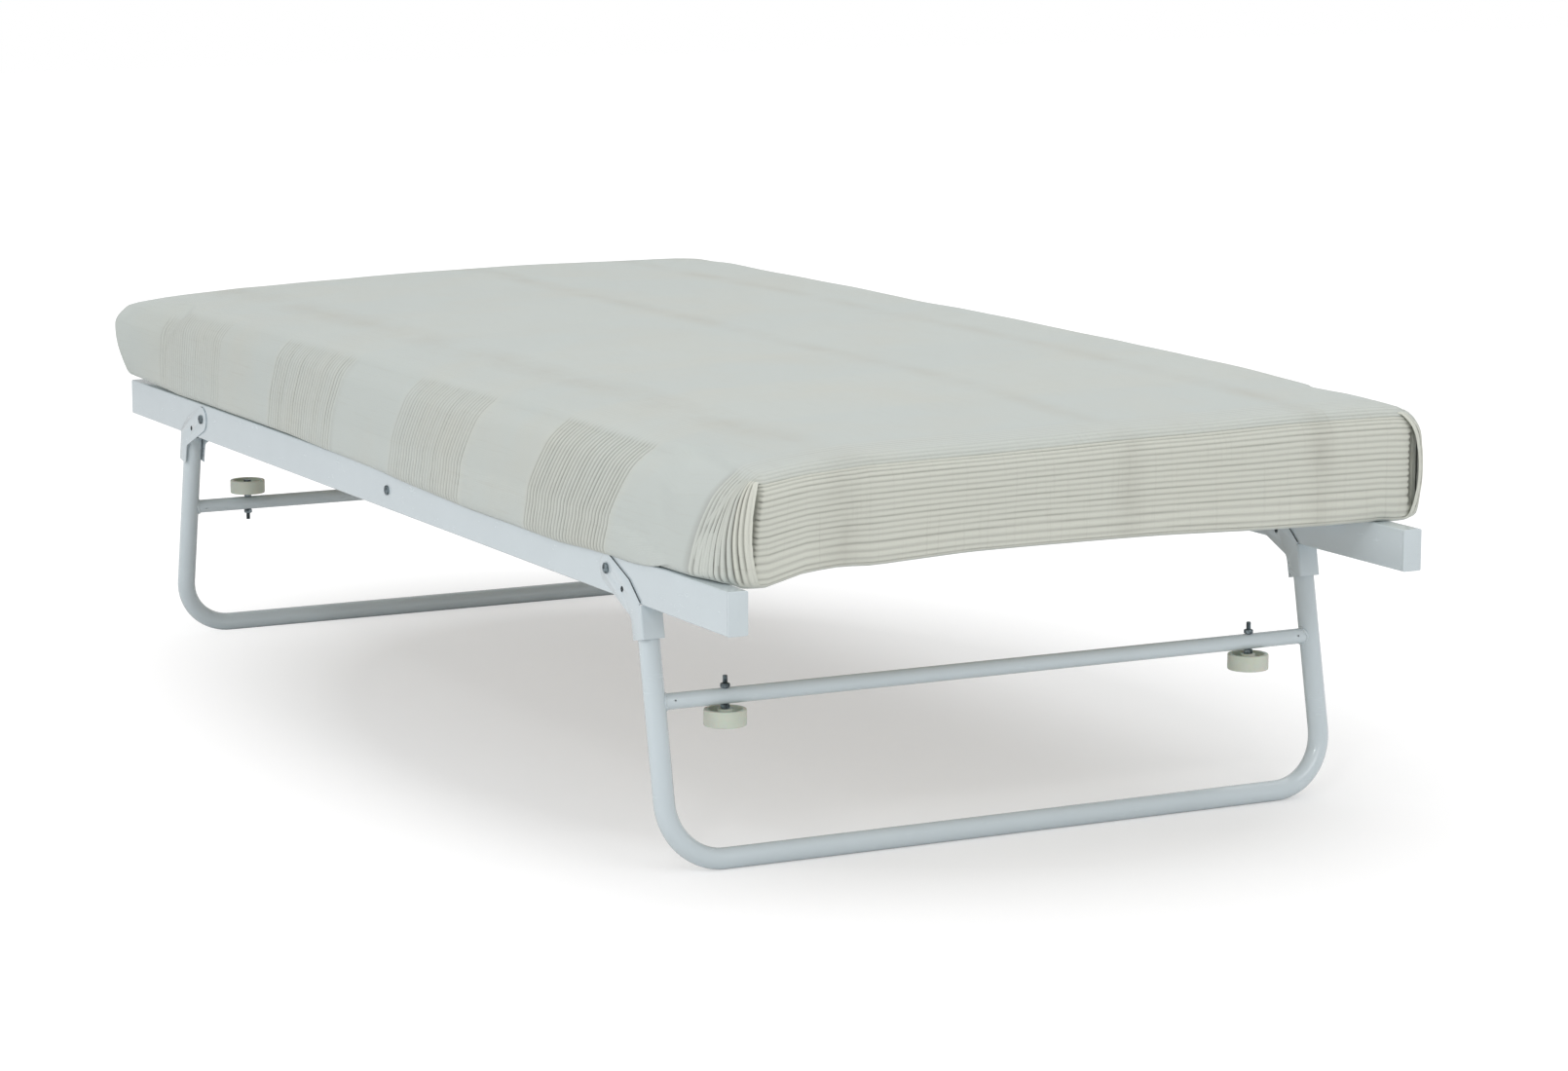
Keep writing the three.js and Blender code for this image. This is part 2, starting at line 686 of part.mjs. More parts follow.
// Distances from the crossbar's axis, out along the axle bolt.
const hubNutAt = crossbarRadius + fit + nutHeight / 2;
const wheelAt = hubNutAt + nutHeight / 2 + fit + wheelWidth / 2;
const headSeatAt = wheelAt + wheelWidth / 2 - wheelHeadRecess + fit;
const lockNutAt = -crossbarRadius - fit - nutHeight / 2;
const threadEndAt = lockNutAt - nutHeight / 2 - axleThreadPastNut;

// A hexagon-head bolt along Z, measured down from the crossbar's axis.
function axleBolt() {
  const shankEndAt = headSeatAt + hexHeadHeight / 2; // inside the head
  const shank = solid(bar(boltRadius, shankEndAt - threadEndAt), at(0, 0, -(shankEndAt + threadEndAt) / 2));
  const headOutline = regularOutline(nutAcrossFlats / 2, 6);
  const head = solid(extrusion(headOutline, hexHeadHeight), at(0, 0, -(headSeatAt + hexHeadHeight / 2)));
  return toGeometry(head.add(shank));
}

for (const end of ends) {
  const legs = new THREE.Group();
  legs.position.set(end.x * pivotX, 0, pivotZ);
  legs.rotation.z = end.x > 0 ? 0 : Math.PI;
  cot.add(legs);
  place(`leg_tube_${end.name}`, legTube(), materials.paintedSteel, legs);
  place(`crossbar_${end.name}`, crossbar(), materials.paintedSteel, legs).position.copy(crossbarCentre);

  // The wheels hang below the crossbar at the foot end and stand above it at the head end.
  const axles = new THREE.Group();
  axles.position.copy(crossbarCentre);
  axles.rotation.x = end.x > 0 ? 0 : Math.PI;
  legs.add(axles);
  for (const side of sides) {
    const name = `${end.name}_${side.name}`;
    // The head end's legs are turned end for end, which swaps left and right there. Its axles
    // are turned over as well, which swaps them back.
    place(`bracket_${name}`, bracket(end.x > 0 ? side : opposite(side)), materials.paintedSteel, legs);
    const y = side.y * axleY;
    place(`wheel_${name}`, wheel(), materials.nylon, axles).position.set(0, y, -wheelAt);
    place(`axle_bolt_${name}`, axleBolt(), materials.zinc, axles).position.set(0, y, 0);
    place(`hub_nut_${name}`, nut(), materials.zinc, axles).position.set(0, y, -hubNutAt);
    place(`lock_nut_${name}`, nut(), materials.zinc, axles).position.set(0, y, -lockNutAt);
  }
}

export default cot;
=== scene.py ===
"""The looks of a folding cot: a steel frame with slats, hinged leg frames on wheels, and a mattress in a
ribbed woven cover. Everything is in metres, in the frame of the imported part: +X is the foot end, +Y the
sleeper's left."""

import json
import math

import bmesh
import bpy
from mathutils import Matrix, Vector, noise
from mathutils.bvhtree import BVHTree


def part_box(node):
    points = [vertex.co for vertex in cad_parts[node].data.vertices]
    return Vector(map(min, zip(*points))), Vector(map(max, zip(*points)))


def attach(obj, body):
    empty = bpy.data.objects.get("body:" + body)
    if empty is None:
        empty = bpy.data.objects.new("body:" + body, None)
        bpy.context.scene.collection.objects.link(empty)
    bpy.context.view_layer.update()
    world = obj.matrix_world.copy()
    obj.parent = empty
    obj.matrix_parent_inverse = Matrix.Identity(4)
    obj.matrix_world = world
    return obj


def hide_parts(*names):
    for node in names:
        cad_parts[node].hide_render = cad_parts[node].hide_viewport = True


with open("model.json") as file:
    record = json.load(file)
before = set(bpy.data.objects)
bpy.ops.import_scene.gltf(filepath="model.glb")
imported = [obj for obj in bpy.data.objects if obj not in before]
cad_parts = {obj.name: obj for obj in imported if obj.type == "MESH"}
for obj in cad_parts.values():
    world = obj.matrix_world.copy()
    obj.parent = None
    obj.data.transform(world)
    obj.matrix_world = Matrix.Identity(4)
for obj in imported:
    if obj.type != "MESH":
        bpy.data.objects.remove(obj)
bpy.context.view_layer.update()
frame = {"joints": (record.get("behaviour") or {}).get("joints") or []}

bl_info = {
    "name": "Folding cot",
    "version": (1, 0, 0),
    "blender": (4, 5, 0),
    "location": "3D View > Sidebar > Cot",
    "description": "Builds the pieces of a folding cot around its packed frame",
    "category": "Object",
}

ENDS = {"head": -1, "foot": 1}
SIDES = {"left": 1, "right": -1}
JOINTS = {joint["name"]: joint for joint in frame["joints"]}
MM = 0.001


def box_centre(node):
    """The middle of a node's box."""
    low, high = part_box(node)
    return (low + high) / 2


def box_size(node):
    """The size of a node's box."""
    low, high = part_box(node)
    return high - low


def srgb(red, green, blue):
    """A colour given as 0 to 255 on a screen, as the linear values that shaders use."""
    def linear(value):
        share = value / 255
        return share / 12.92 if share <= 0.04045 else ((share + 0.055) / 1.055) ** 2.4
    return (linear(red), linear(green), linear(blue))


def shade(colour, share=1.0):
    """A share of a colour, with the alpha that node sockets want."""
    return (*[share * part for part in colour], 1)


# ------------------------------------------------------------------ settings


def number(name, default, description, **more):
    """A number from 0 up that a user may change."""
    return bpy.props.FloatProperty(name=name, description=description, default=default, min=0, **more)


def length(name, default, description):
    """A length in metres that a user may change."""
    return number(name, default, description, unit="LENGTH", precision=4)


def angle(name, degrees, description):
    """An angle that a user may change."""
    return number(name, math.radians(degrees), description, subtype="ANGLE")


def colour(name, default, description):
    """A colour that a user may change."""
    return bpy.props.FloatVectorProperty(
        name=name, description=description, default=default, size=3, subtype="COLOR", min=0, max=1
    )


class CotFrameSettings(bpy.types.PropertyGroup):
    """Sizes and finishes of the metalwork, the slats and the wheels."""

    paint: colour("Paint", srgb(207, 218, 223), "Powder coat on the steel")
    zinc: colour("Zinc", srgb(146, 159, 165), "Plating on the bolts and nuts")
    nylon: colour("Nylon", srgb(208, 214, 201), "Wheels")
    cap: colour("Caps", srgb(210, 220, 224), "Plastic caps in the rail ends")
    wood: colour("Wood", srgb(205, 172, 124), "Slats")
    tube_wall: length("Tube wall", 1.5 * MM, "Wall of the rails and of the bent tubes")
    rail_corner: length("Rail corner", 2 * MM, "Outer corner radius of the rails")
    leg_diameter: length("Leg tube", 25 * MM, "Diameter of the bent leg tubes")
    leg_bend: length("Leg bend", 70 * MM, "Bend radius of the leg tubes, to the axis")
    leg_offset: length("Leg offset", 67 * MM, "From the pivot out to the leg's axis")
    bracket_sheet: length("Bracket sheet", 1.5 * MM, "Thickness of the folded brackets")
    bracket_fold: length("Bracket fold", 3 * MM, "Outer radius of the brackets' folds")
    thread_pitch: length("Thread pitch", 1 * MM, "Rise of one turn on the bolts' threads")
    leg_splay: angle("Leg splay", 11.5, "Lean of the legs out from the vertical")


class CotMattressSettings(bpy.types.PropertyGroup):
    """Sizes and colours of the mattress."""

    cloth: colour("Cloth", srgb(206, 213, 209), "Woven cotton of the cover")
    cream: colour("Cream yarn", srgb(210, 209, 197), "Yarn that shows in faint bands and slubs")
    # The ribs' lighter yarn, which also stands for a painted highlight on them.
    rib_yarn_and_highlight: colour("Rib yarn and highlight", srgb(231, 232, 220), "The ribs")
    length: length("Length", 1954 * MM, "From the head end to the foot end")
    width: length("Width", 926 * MM, "From side to side")
    edge_height: length("Edge height", 122 * MM, "Height of the sides")
    edge_radius: length("Edge radius", 32 * MM, "Rounding of the top edges and of the corners")
    low_radius: length("Lower radius", 12 * MM, "Rounding of the lower edges")
    swell: length("Swell", 8 * MM, "How far the filling may push the cover out")
    rib_height: length("Rib height", 2.8 * MM, "How far a rib stands out")
    turn: angle("Turn", 1.05, "How far askew the mattress lies")
    shear: angle("End slant", 1.45, "How far the foot end is out of square")
    offset: bpy.props.FloatVectorProperty(
        name="Offset", description="From the frame's middle to the mattress's", size=2, unit="LENGTH",
        default=(-24 * MM, 17 * MM),
    )


class CotStudioSettings(bpy.types.PropertyGroup):
    """Camera, lights and floor."""

    floor: colour("Floor", (0.9, 0.9, 0.9), "Seamless floor")
    floor_white: number("Floor white", 0.32, "Share of plain white in the floor under the object", max=1)
    floor_glow: number("Floor glow", 1.15, "Strength of that white")
    key_power: number("Key light", 50, "Watts")
    side_power: number("Side fill", 55, "Watts")
    end_power: number("End fill", 34, "Watts")
    strip_power: number("Highlight", 34, "Watts")
    world_strength: number("Sky", 0.61, "Even light all round")
    lens: number("Lens", 98.98, "Focal length in millimetres")


# ------------------------------------------------------------------ materials


def new_group(name, inputs, outputs):
    """A shader node group with float or vector sockets, and its input and output nodes."""
    group = bpy.data.node_groups.new(name, "ShaderNodeTree")
    for label, kind, default in inputs:
        socket = group.interface.new_socket(name=label, in_out="INPUT", socket_type=kind)
        if default is not None:
            socket.default_value = default
    for label, kind in outputs:
        group.interface.new_socket(name=label, in_out="OUTPUT", socket_type=kind)
    return group, group.nodes.new("NodeGroupInput"), group.nodes.new("NodeGroupOutput")


class Wiring:
    """Short calls for adding and joining the nodes of one tree."""

    def __init__(self, tree):
        self.tree = tree

    def add(self, kind, inputs=None, **settings):
        """A node with some settings; inputs take a value or another node's socket."""
        node = self.tree.nodes.new(kind)
        for key, value in settings.items():
            setattr(node, key, value)
        for key, value in (inputs or {}).items():
            self.set(node.inputs[key], value)
        return node

    def set(self, socket, value):
        """Joins a socket to another, or gives it a value."""
        if isinstance(value, bpy.types.NodeSocket):
            self.tree.links.new(value, socket)
        else:
            socket.default_value = value

    def maths(self, operation, first, second=0.0):
        """The result of a Math node."""
        return self.add("ShaderNodeMath", {0: first, 1: second}, operation=operation).outputs[0]

    def times(self, first, second):
        """The product of two values."""
        return self.maths("MULTIPLY", first, second)

    def plus(self, first, second):
        """The sum of two values."""
        return self.maths("ADD", first, second)

    def mix(self, factor, first, second):
        """A mix of two colours."""
        return self.add("ShaderNodeMix", {6: first, 7: second, "Factor": factor}, data_type="RGBA").outputs[2]

    def scaled(self, vector, scale):
        """Coordinates drawn out by their own scale along each axis."""
        return self.add("ShaderNodeMapping", {"Vector": vector, "Scale": scale}).outputs[0]

    def noise(self, vector, scale, detail=2.0, roughness=0.5):
        """The value of a Noise Texture."""
        inputs = {"Vector": vector, "Scale": scale, "Detail": detail, "Roughness": roughness}
        return self.add("ShaderNodeTexNoise", inputs).outputs[0]

    def range(self, value, low, high, to_low=0.0, to_high=1.0):
        """A value moved from one range to another."""
        inputs = {0: value, 1: low, 2: high, 3: to_low, 4: to_high}
        return self.add("ShaderNodeMapRange", inputs).outputs[0]


def speckle_group():
    """Fine surface texture and slow colour variation, for paint, plastic and nylon."""
    inputs = [
        ("Vector", "NodeSocketVector", None),
        ("Grain size", "NodeSocketFloat", 0.001),
        ("Patch size", "NodeSocketFloat", 0.1),
    ]
    outputs = [("Grain", "NodeSocketFloat"), ("Patches", "NodeSocketFloat"), ("Scuffs", "NodeSocketFloat")]
    group, given, made = new_group("speckle", inputs, outputs)
    wiring = Wiring(group)
    grain_scale = wiring.maths("DIVIDE", 1.0, given.outputs["Grain size"])
    patch_scale = wiring.maths("DIVIDE", 1.0, given.outputs["Patch size"])
    vector = given.outputs["Vector"]
    wiring.set(made.inputs["Grain"], wiring.noise(vector, grain_scale, 3.0))
    wiring.set(made.inputs["Patches"], wiring.noise(vector, patch_scale, 4.0))
    stretched = wiring.scaled(vector, (4.0, 1.0, 14.0))
    scuffs = wiring.noise(stretched, patch_scale, 8.0, 0.7)
    wiring.set(made.inputs["Scuffs"], wiring.range(scuffs, 0.6, 0.75))
    return group


def weave_group():
    """A plain weave on cloth coordinates in metres: the threads' height, and long slubs."""
    inputs = [("Vector", "NodeSocketVector", None), ("Thread", "NodeSocketFloat", 0.0012)]
    outputs = [("Height", "NodeSocketFloat"), ("Slubs", "NodeSocketFloat")]
    group, given, made = new_group("weave", inputs, outputs)
    wiring = Wiring(group)
    parts = wiring.add("ShaderNodeSeparateXYZ", {0: given.outputs["Vector"]})
    turns = []
    for axis in range(2):
        share = wiring.maths("DIVIDE", parts.outputs[axis], given.outputs["Thread"])
        turns.append(wiring.times(share, math.pi))
    along, across = (wiring.maths("SINE", turn) for turn in turns)
    warp = wiring.maths("ABSOLUTE", along)
    weft = wiring.maths("ABSOLUTE", across)
    over = wiring.maths("GREATER_THAN", wiring.times(along, across), 0.0)
    under = wiring.maths("SUBTRACT", 1.0, over)
    height = wiring.plus(wiring.times(warp, over), wiring.times(weft, under))
    wiring.set(made.inputs["Height"], height)
    stretched = wiring.scaled(given.outputs["Vector"], (9.0, 260.0, 1.0))
    wiring.set(made.inputs["Slubs"], wiring.noise(stretched, 1.0, 6.0, 0.6))
    return group


def place_group(wiring, group, **inputs):
    """A shared effect in a material."""
    node = wiring.add("ShaderNodeGroup", node_tree=group)
    for key, value in inputs.items():
        wiring.set(node.inputs[key.replace("_", " ")], value)
    return node


def new_material(name, **sockets):
    """A material with a Principled BSDF, and the calls that wire it."""
    material = bpy.data.materials.new(name)
    material.use_nodes = True
    shader = material.node_tree.nodes["Principled BSDF"]
    for key, value in sockets.items():
        shader.inputs[key.replace("_", " ")].default_value = value
    return material, Wiring(material.node_tree), shader


def shared_group(name):
    """A shared effect, built the first time it is asked for."""
    return bpy.data.node_groups.get(name) or {"speckle": speckle_group, "weave": weave_group}[name]()


def bump(wiring, shader, height, distance, strength=1.0):
    """Raises the shader's surface by a height given in metres at 1."""
    inputs = {"Height": height, "Distance": distance, "Strength": strength}
    wiring.set(shader.inputs["Normal"], wiring.add("ShaderNodeBump", inputs).outputs[0])


def object_coordinates(wiring):
    """The piece's own coordinates, in metres."""
    return wiring.add("ShaderNodeTexCoord").outputs["Object"]


# Smooth coats and mouldings, and one painted shade: the setting with their colour, the share of it that
# shows, the size and depth of their grain in millimetres, their roughness, and the shader's other sockets.
NYLON_SOCKETS = {"Subsurface_Weight": 0.25, "Subsurface_Scale": 2 * MM, "IOR": 1.53}
COATS = {
    "powder_coat": ("paint", 1, 1.6, 0.05, 0.24, {"Coat_Weight": 0.6, "Coat_Roughness": 0.07, "IOR": 1.5}),
    "cap_moulding": ("cap", 1, 0.7, 0.04, 0.42, {"IOR": 1.47}),
    "nylon_moulding": ("nylon", 1, 0.9, 0.06, 0.45, NYLON_SOCKETS),
    "sheared_edge": ("paint", 0.16, 0.4, 0.05, 0.55, {"IOR": 1.5}),  # painted shade: dark, for the gap along the brackets' upper edges and the lock holes' walls
}


def coat_material(settings, name):
    """A smooth coat or moulding: fine grain, faint patches, and scuffs that dull it."""
    colour_name, share, grain, depth, roughness, sockets = COATS[name]
    base = shade(getattr(settings, colour_name), share)[:3]
    material, wiring, shader = new_material(name, **sockets)
    coordinates = object_coordinates(wiring)
    effect = place_group(wiring, shared_group("speckle"), Vector=coordinates, Grain_size=grain * MM)
    grain_mask, patches, scuffs = effect.outputs
    plain = wiring.mix(wiring.range(patches, 0.35, 0.65), shade(base, 0.97), shade(base))
    scuffed = wiring.mix(wiring.times(scuffs, 0.25), plain, shade(base, 0.86))
    wiring.set(shader.inputs["Base Color"], scuffed)
    dulled = wiring.plus(wiring.times(scuffs, 0.12), wiring.times(patches, 0.1))
    wiring.set(shader.inputs["Roughness"], wiring.plus(dulled, roughness - 0.05))
    bump(wiring, shader, grain_mask, depth * MM)
    return material


def zinc_material(settings):
    """Zinc plate with darker stains in it."""
    material, wiring, shader = new_material("zinc_plate", Metallic=1.0)
    sizes = {"Grain_size": 0.5 * MM, "Patch_size": 6 * MM}
    effect = place_group(wiring, shared_group("speckle"), Vector=object_coordinates(wiring), **sizes)
    stained = wiring.range(effect.outputs["Patches"], 0.4, 0.62)
    base = wiring.mix(stained, shade(settings.zinc, 0.35), shade(settings.zinc))
    wiring.set(shader.inputs["Base Color"], base)
    wiring.set(shader.inputs["Roughness"], wiring.range(effect.outputs["Grain"], 0.3, 0.7, 0.28, 0.48))
    bump(wiring, shader, effect.outputs["Grain"], 0.03 * MM)
    return material


def wood_material(settings):
    """Laminated beech with a clear coat: grain along the slat, short flecks, and the laps of its layers in
    the bump.
    """
    material, wiring, shader = new_material("slat_beech", Coat_Weight=0.25, Coat_Roughness=0.3)
    vector = object_coordinates(wiring)
    long_grain = wiring.scaled(vector, (38.0, 1.6, 90.0))
    rings = wiring.noise(long_grain, 2.2, 6.0, 0.62)
    flecks_at = wiring.scaled(vector, (700.0, 90.0, 700.0))
    flecks = wiring.range(wiring.noise(flecks_at, 1.0, 2.0), 0.6, 0.68)
    deep = shade(settings.wood, 0.62)
    grain = wiring.mix(wiring.range(rings, 0.32, 0.68), deep, shade(settings.wood))
    base = wiring.mix(wiring.times(flecks, 0.45), grain, shade(settings.wood, 0.4))
    layers_at = wiring.add("ShaderNodeSeparateXYZ", {0: vector}).outputs[2]
    layers = wiring.maths("SINE", wiring.times(layers_at, math.tau / (1.3 * MM)))
    wiring.set(shader.inputs["Base Color"], base)
    wiring.set(shader.inputs["Roughness"], wiring.range(rings, 0.3, 0.7, 0.38, 0.55))
    height = wiring.plus(rings, wiring.times(layers, 0.1))
    bump(wiring, shader, height, 0.15 * MM)
    return material


def cloth_material(settings):
    """Off-white cotton: weave and slubs on the cloth's own map, painted shade between ribs, cream bands."""
    sockets = {"Roughness": 0.9, "Sheen_Weight": 0.25, "Sheen_Roughness": 0.5, "Specular_IOR_Level": 0.2}
    material, wiring, shader = new_material("woven_cotton", **sockets)
    vector = wiring.add("ShaderNodeUVMap", uv_map="cloth").outputs[0]
    weave = place_group(wiring, shared_group("weave"), Vector=vector)
    groove = wiring.add("ShaderNodeAttribute", attribute_name="groove").outputs["Fac"]
    yarn = wiring.add("ShaderNodeAttribute", attribute_name="yarn").outputs["Fac"]
    broad = wiring.range(wiring.noise(vector, 5.0, 4.0, 0.55), 0.45, 0.7)
    slubs = wiring.range(weave.outputs["Slubs"], 0.55, 0.8)
    across = wiring.add("ShaderNodeSeparateXYZ", {0: vector}).outputs[1]
    drift = wiring.times(wiring.noise(vector, 3.0, 3.0), 0.05)
    creases = []
    for place, breadth in ((0.02, 0.03), (-0.355, 0.045), (0.285, 0.03)):
        gap = wiring.maths("ABSOLUTE", wiring.maths("SUBTRACT", across, wiring.plus(drift, place)))
        creases.append(wiring.range(gap, breadth, 0.0))
    crease = wiring.maths("MAXIMUM", wiring.maths("MAXIMUM", creases[0], creases[1]), creases[2])
    patchy = wiring.range(wiring.noise(vector, 7.0, 5.0, 0.65), 0.35, 0.65)
    crease = wiring.times(crease, wiring.times(patchy, 0.45))
    base = wiring.mix(wiring.times(broad, 0.35), shade(settings.cloth), shade(settings.cream))
    # the ribs' lighter yarn, with a painted highlight
    base = wiring.mix(yarn, base, shade(settings.rib_yarn_and_highlight))
    base = wiring.mix(crease, base, shade(settings.cream, 0.8))
    base = wiring.mix(wiring.times(slubs, 0.3), base, shade(settings.cream, 0.8))
    # painted shade in the weave's hollows
    hollow = wiring.maths("SUBTRACT", 1.0, weave.outputs["Height"])
    base = wiring.mix(wiring.times(hollow, 0.12), base, shade(settings.cloth, 0.55))
    # painted shade in the grooves between ribs and in the pockets behind the flaps
    shadow = shade(settings.cream, 0.17)
    wiring.set(shader.inputs["Base Color"], wiring.mix(groove, base, shadow))
    height = wiring.plus(weave.outputs["Height"], wiring.times(weave.outputs["Slubs"], 1.5))
    bump(wiring, shader, height, 0.25 * MM, 0.8)
    return material


def finish_of(name):
    """A material by name, made the first time it is used."""
    scene = bpy.context.scene
    if name in bpy.data.materials:
        return bpy.data.materials[name]
    if name == "woven_cotton":
        return cloth_material(scene.cot_mattress)
    if name == "slat_beech":
        return wood_material(scene.cot_frame)
    if name == "zinc_plate":
        return zinc_material(scene.cot_frame)
    return coat_material(scene.cot_frame, name)


# ------------------------------------------------------------------ shapes

SAME = 0.01 * MM
Y_AXIS = (0, 1, 0)
Z_AXIS = (0, 0, 1)
VERT = bmesh.types.BMVert
EDGE = bmesh.types.BMEdge


def put_in_scene(name, data):
    """A new object in the scene."""
    thing = bpy.data.objects.new(name, data)
    bpy.context.scene.collection.objects.link(thing)
    return thing


def mesh_from(shape, name):
    """A mesh with a shape's faces. The shape is freed."""
    mesh = bpy.data.meshes.new(name)
    shape.to_mesh(mesh)
    shape.free()
    return mesh


def face_outwards(shape):
    """Turns a shape's faces outwards."""
    bmesh.ops.recalc_face_normals(shape, faces=shape.faces)


def add_piece(name, shape, finish, body, replaces, sharp=30):
    """Makes a shape a piece of the object: one finish, riding on one body, standing for some CAD nodes."""
    face_outwards(shape)
    mesh = mesh_from(shape, name)
    mesh.shade_smooth()
    mesh.set_sharp_from_angle(angle=math.radians(sharp))
    mesh.materials.append(finish_of(finish))
    piece = put_in_scene(name, mesh)
    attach(piece, body)
    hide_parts(*replaces)
    return piece


def bevel(shape, edges, width, segments=3):
    """Rounds some edges."""
    bmesh.ops.bevel(
        shape, geom=edges, offset=width, offset_type="OFFSET", segments=segments, profile=0.5,
        affect="EDGES", clamp_overlap=True, material=-1,
    )


def sharp_edges(shape, angle=40):
    """Edges where two faces meet at more than an angle in degrees."""
    limit = math.radians(angle)
    return [edge for edge in shape.edges if len(edge.link_faces) == 2 and edge.calc_face_angle() > limit]


def edges_along(shape, axis, least=0.1):
    """Edges that reach further than a length along an axis, given by its number."""
    return [edge for edge in shape.edges if abs((edge.verts[0].co - edge.verts[1].co)[axis]) > least]


def edges_at(shape, **planes):
    """Edges with both ends in all the given planes, such as x=0.1."""
    def inside(vert):
        return all(abs(getattr(vert.co, axis) - place) < SAME for axis, place in planes.items())
    return [edge for edge in shape.edges if all(inside(vert) for vert in edge.verts)]


def edges_of(verts):
    """The edges that meet some vertices."""
    return list({edge for vert in verts for edge in vert.link_edges})


def only(kind, geometry):
    """The vertices or the edges in what an operation gives."""
    return [item for item in geometry if isinstance(item, kind)]


def extrude(shape, edges, step):
    """Draws edges out by a step, and gives what grew."""
    grown = bmesh.ops.extrude_edge_only(shape, edges=edges)["geom"]
    bmesh.ops.translate(shape, verts=only(VERT, grown), vec=step)
    return grown


def spin(shape, geometry, angle, steps, centre=(0, 0, 0), axis=Z_AXIS, rise=0.0, weld=True):
    """Sweeps geometry round an axis, and gives what it ends in."""
    return bmesh.ops.spin(
        shape, geom=geometry, cent=centre, axis=axis, dvec=(0, 0, rise), angle=angle, steps=steps,
        use_merge=weld, use_duplicate=False,
    )["geom_last"]


def thicken(shape, thickness, face, inside):
    """Makes a sheet solid on the side of a point, as seen from one of its faces."""
    outward = (face.calc_center_median() - inside).dot(face.normal) > 0
    bmesh.ops.solidify(shape, geom=shape.faces[:], thickness=thickness if outward else -thickness)


def move(shape, matrix):
    """Puts a whole shape somewhere else."""
    bmesh.ops.transform(shape, matrix=matrix, verts=shape.verts)
    if matrix.determinant() < 0:
        bmesh.ops.reverse_faces(shape, faces=shape.faces)


def moved_copy(shape, matrix):
    """A moved copy of a shape, which stays as it was."""
    copy = shape.copy()
    move(copy, matrix)
    return copy


def turn_to(axis):
    """Turns +Z to an axis."""
    return Vector(Z_AXIS).rotation_difference(Vector(axis)).to_matrix().to_4x4()


def end_matrix(end):
    """Turns what is made for the foot end round to its own end."""
    return Matrix.Rotation(math.pi if ENDS[end] < 0 else 0.0, 4, "Z")


def block(xs, ys, zs, rounding=0.0):
    """A box between two places along each axis, in either order, its edges rounded."""
    shape = bmesh.new()
    low, high = (Vector([pick(pair) for pair in (xs, ys, zs)]) for pick in (min, max))
    matrix = Matrix.Translation((low + high) / 2) @ Matrix.Diagonal((*(high - low), 1))
    bmesh.ops.create_cube(shape, size=1, matrix=matrix)
    if rounding:
        bevel(shape, shape.edges[:], rounding)
    return shape


def rod(radius, low, high, segments=32, rounding=0.0, caps=True):
    """A round bar along Z, or a regular one with few segments."""
    shape = bmesh.new()
    bmesh.ops.create_cone(
        shape, cap_ends=caps, segments=segments, radius1=radius, radius2=radius, depth=high - low,
        matrix=Matrix.Translation((0, 0, (low + high) / 2)),
    )
    if rounding:
        bevel(shape, sharp_edges(shape), rounding, 2)
    return shape


def closed_line(shape, profile):
    """A closed line through points given as (radius, height): its vertices and its edges."""
    verts = [shape.verts.new((radius, 0, height)) for radius, height in profile]
    return verts, [shape.edges.new(pair) for pair in zip(verts, verts[1:] + verts[:1])]


def turned(profile, segments=48):
    """A shape turned about Z from points given as (radius, height)."""
    shape = bmesh.new()
    verts, edges = closed_line(shape, profile)
    spin(shape, verts + edges, math.tau, segments)
    bmesh.ops.remove_doubles(shape, verts=shape.verts, dist=0.002 * MM)
    face_outwards(shape)
    return shape


def join(shape, *others):
    """Adds other shapes to a shape."""
    for other in others:
        mesh = mesh_from(other, "joined")
        shape.from_mesh(mesh)
        bpy.data.meshes.remove(mesh)
    return shape


def cut(shape, cutters, operation="DIFFERENCE"):
    """Cuts each cutter out of a shape, or keeps what they share."""
    holders = []
    for solid in (shape, *cutters):
        face_outwards(solid)
        holders.append(put_in_scene("cut", mesh_from(solid, "cut")))
    for cutter in holders[1:]:
        modifier = holders[0].modifiers.new("cut", "BOOLEAN")
        modifier.operation = operation
        modifier.solver = "EXACT"
        modifier.object = cutter
    bpy.context.view_layer.update()
    result = bmesh.new()
    result.from_object(holders[0], bpy.context.evaluated_depsgraph_get())
    for holder in holders:
        mesh = holder.data
        bpy.data.objects.remove(holder)
        bpy.data.meshes.remove(mesh)
    return result


def drill(radius, centre, axis, reach):
    """A cutter for a round hole."""
    hole = rod(radius, -reach, reach, 24)
    move(hole, Matrix.Translation(centre) @ turn_to(axis))
    return hole


def weld_bead(ring_radius, bead, height_at, seed):
    """A fillet weld round a tube along +Z, seated at a height that depends on the angle."""
    shape = bmesh.new()
    section = Matrix.Translation((ring_radius, 0, 0)) @ Matrix.Rotation(math.pi / 2, 4, "X")
    ring = bmesh.ops.create_circle(shape, segments=8, radius=bead, matrix=section)["verts"]
    spin(shape, ring + edges_of(ring), math.tau, 72)
    bmesh.ops.remove_doubles(shape, verts=shape.verts, dist=SAME)
    for vert in shape.verts:
        angle = math.atan2(vert.co.y, vert.co.x)
        ripple = 1 + 0.12 * math.sin(angle * 17 + seed) + 0.15 * noise.noise(Vector((angle * 2, seed, 0)))
        reach = vert.co.xy.length
        swell = (ring_radius + (reach - ring_radius) * ripple) / reach
        vert.co = (vert.co.x * swell, vert.co.y * swell, vert.co.z * ripple + height_at(angle))
    return shape


# ------------------------------------------------------------------ frame pieces

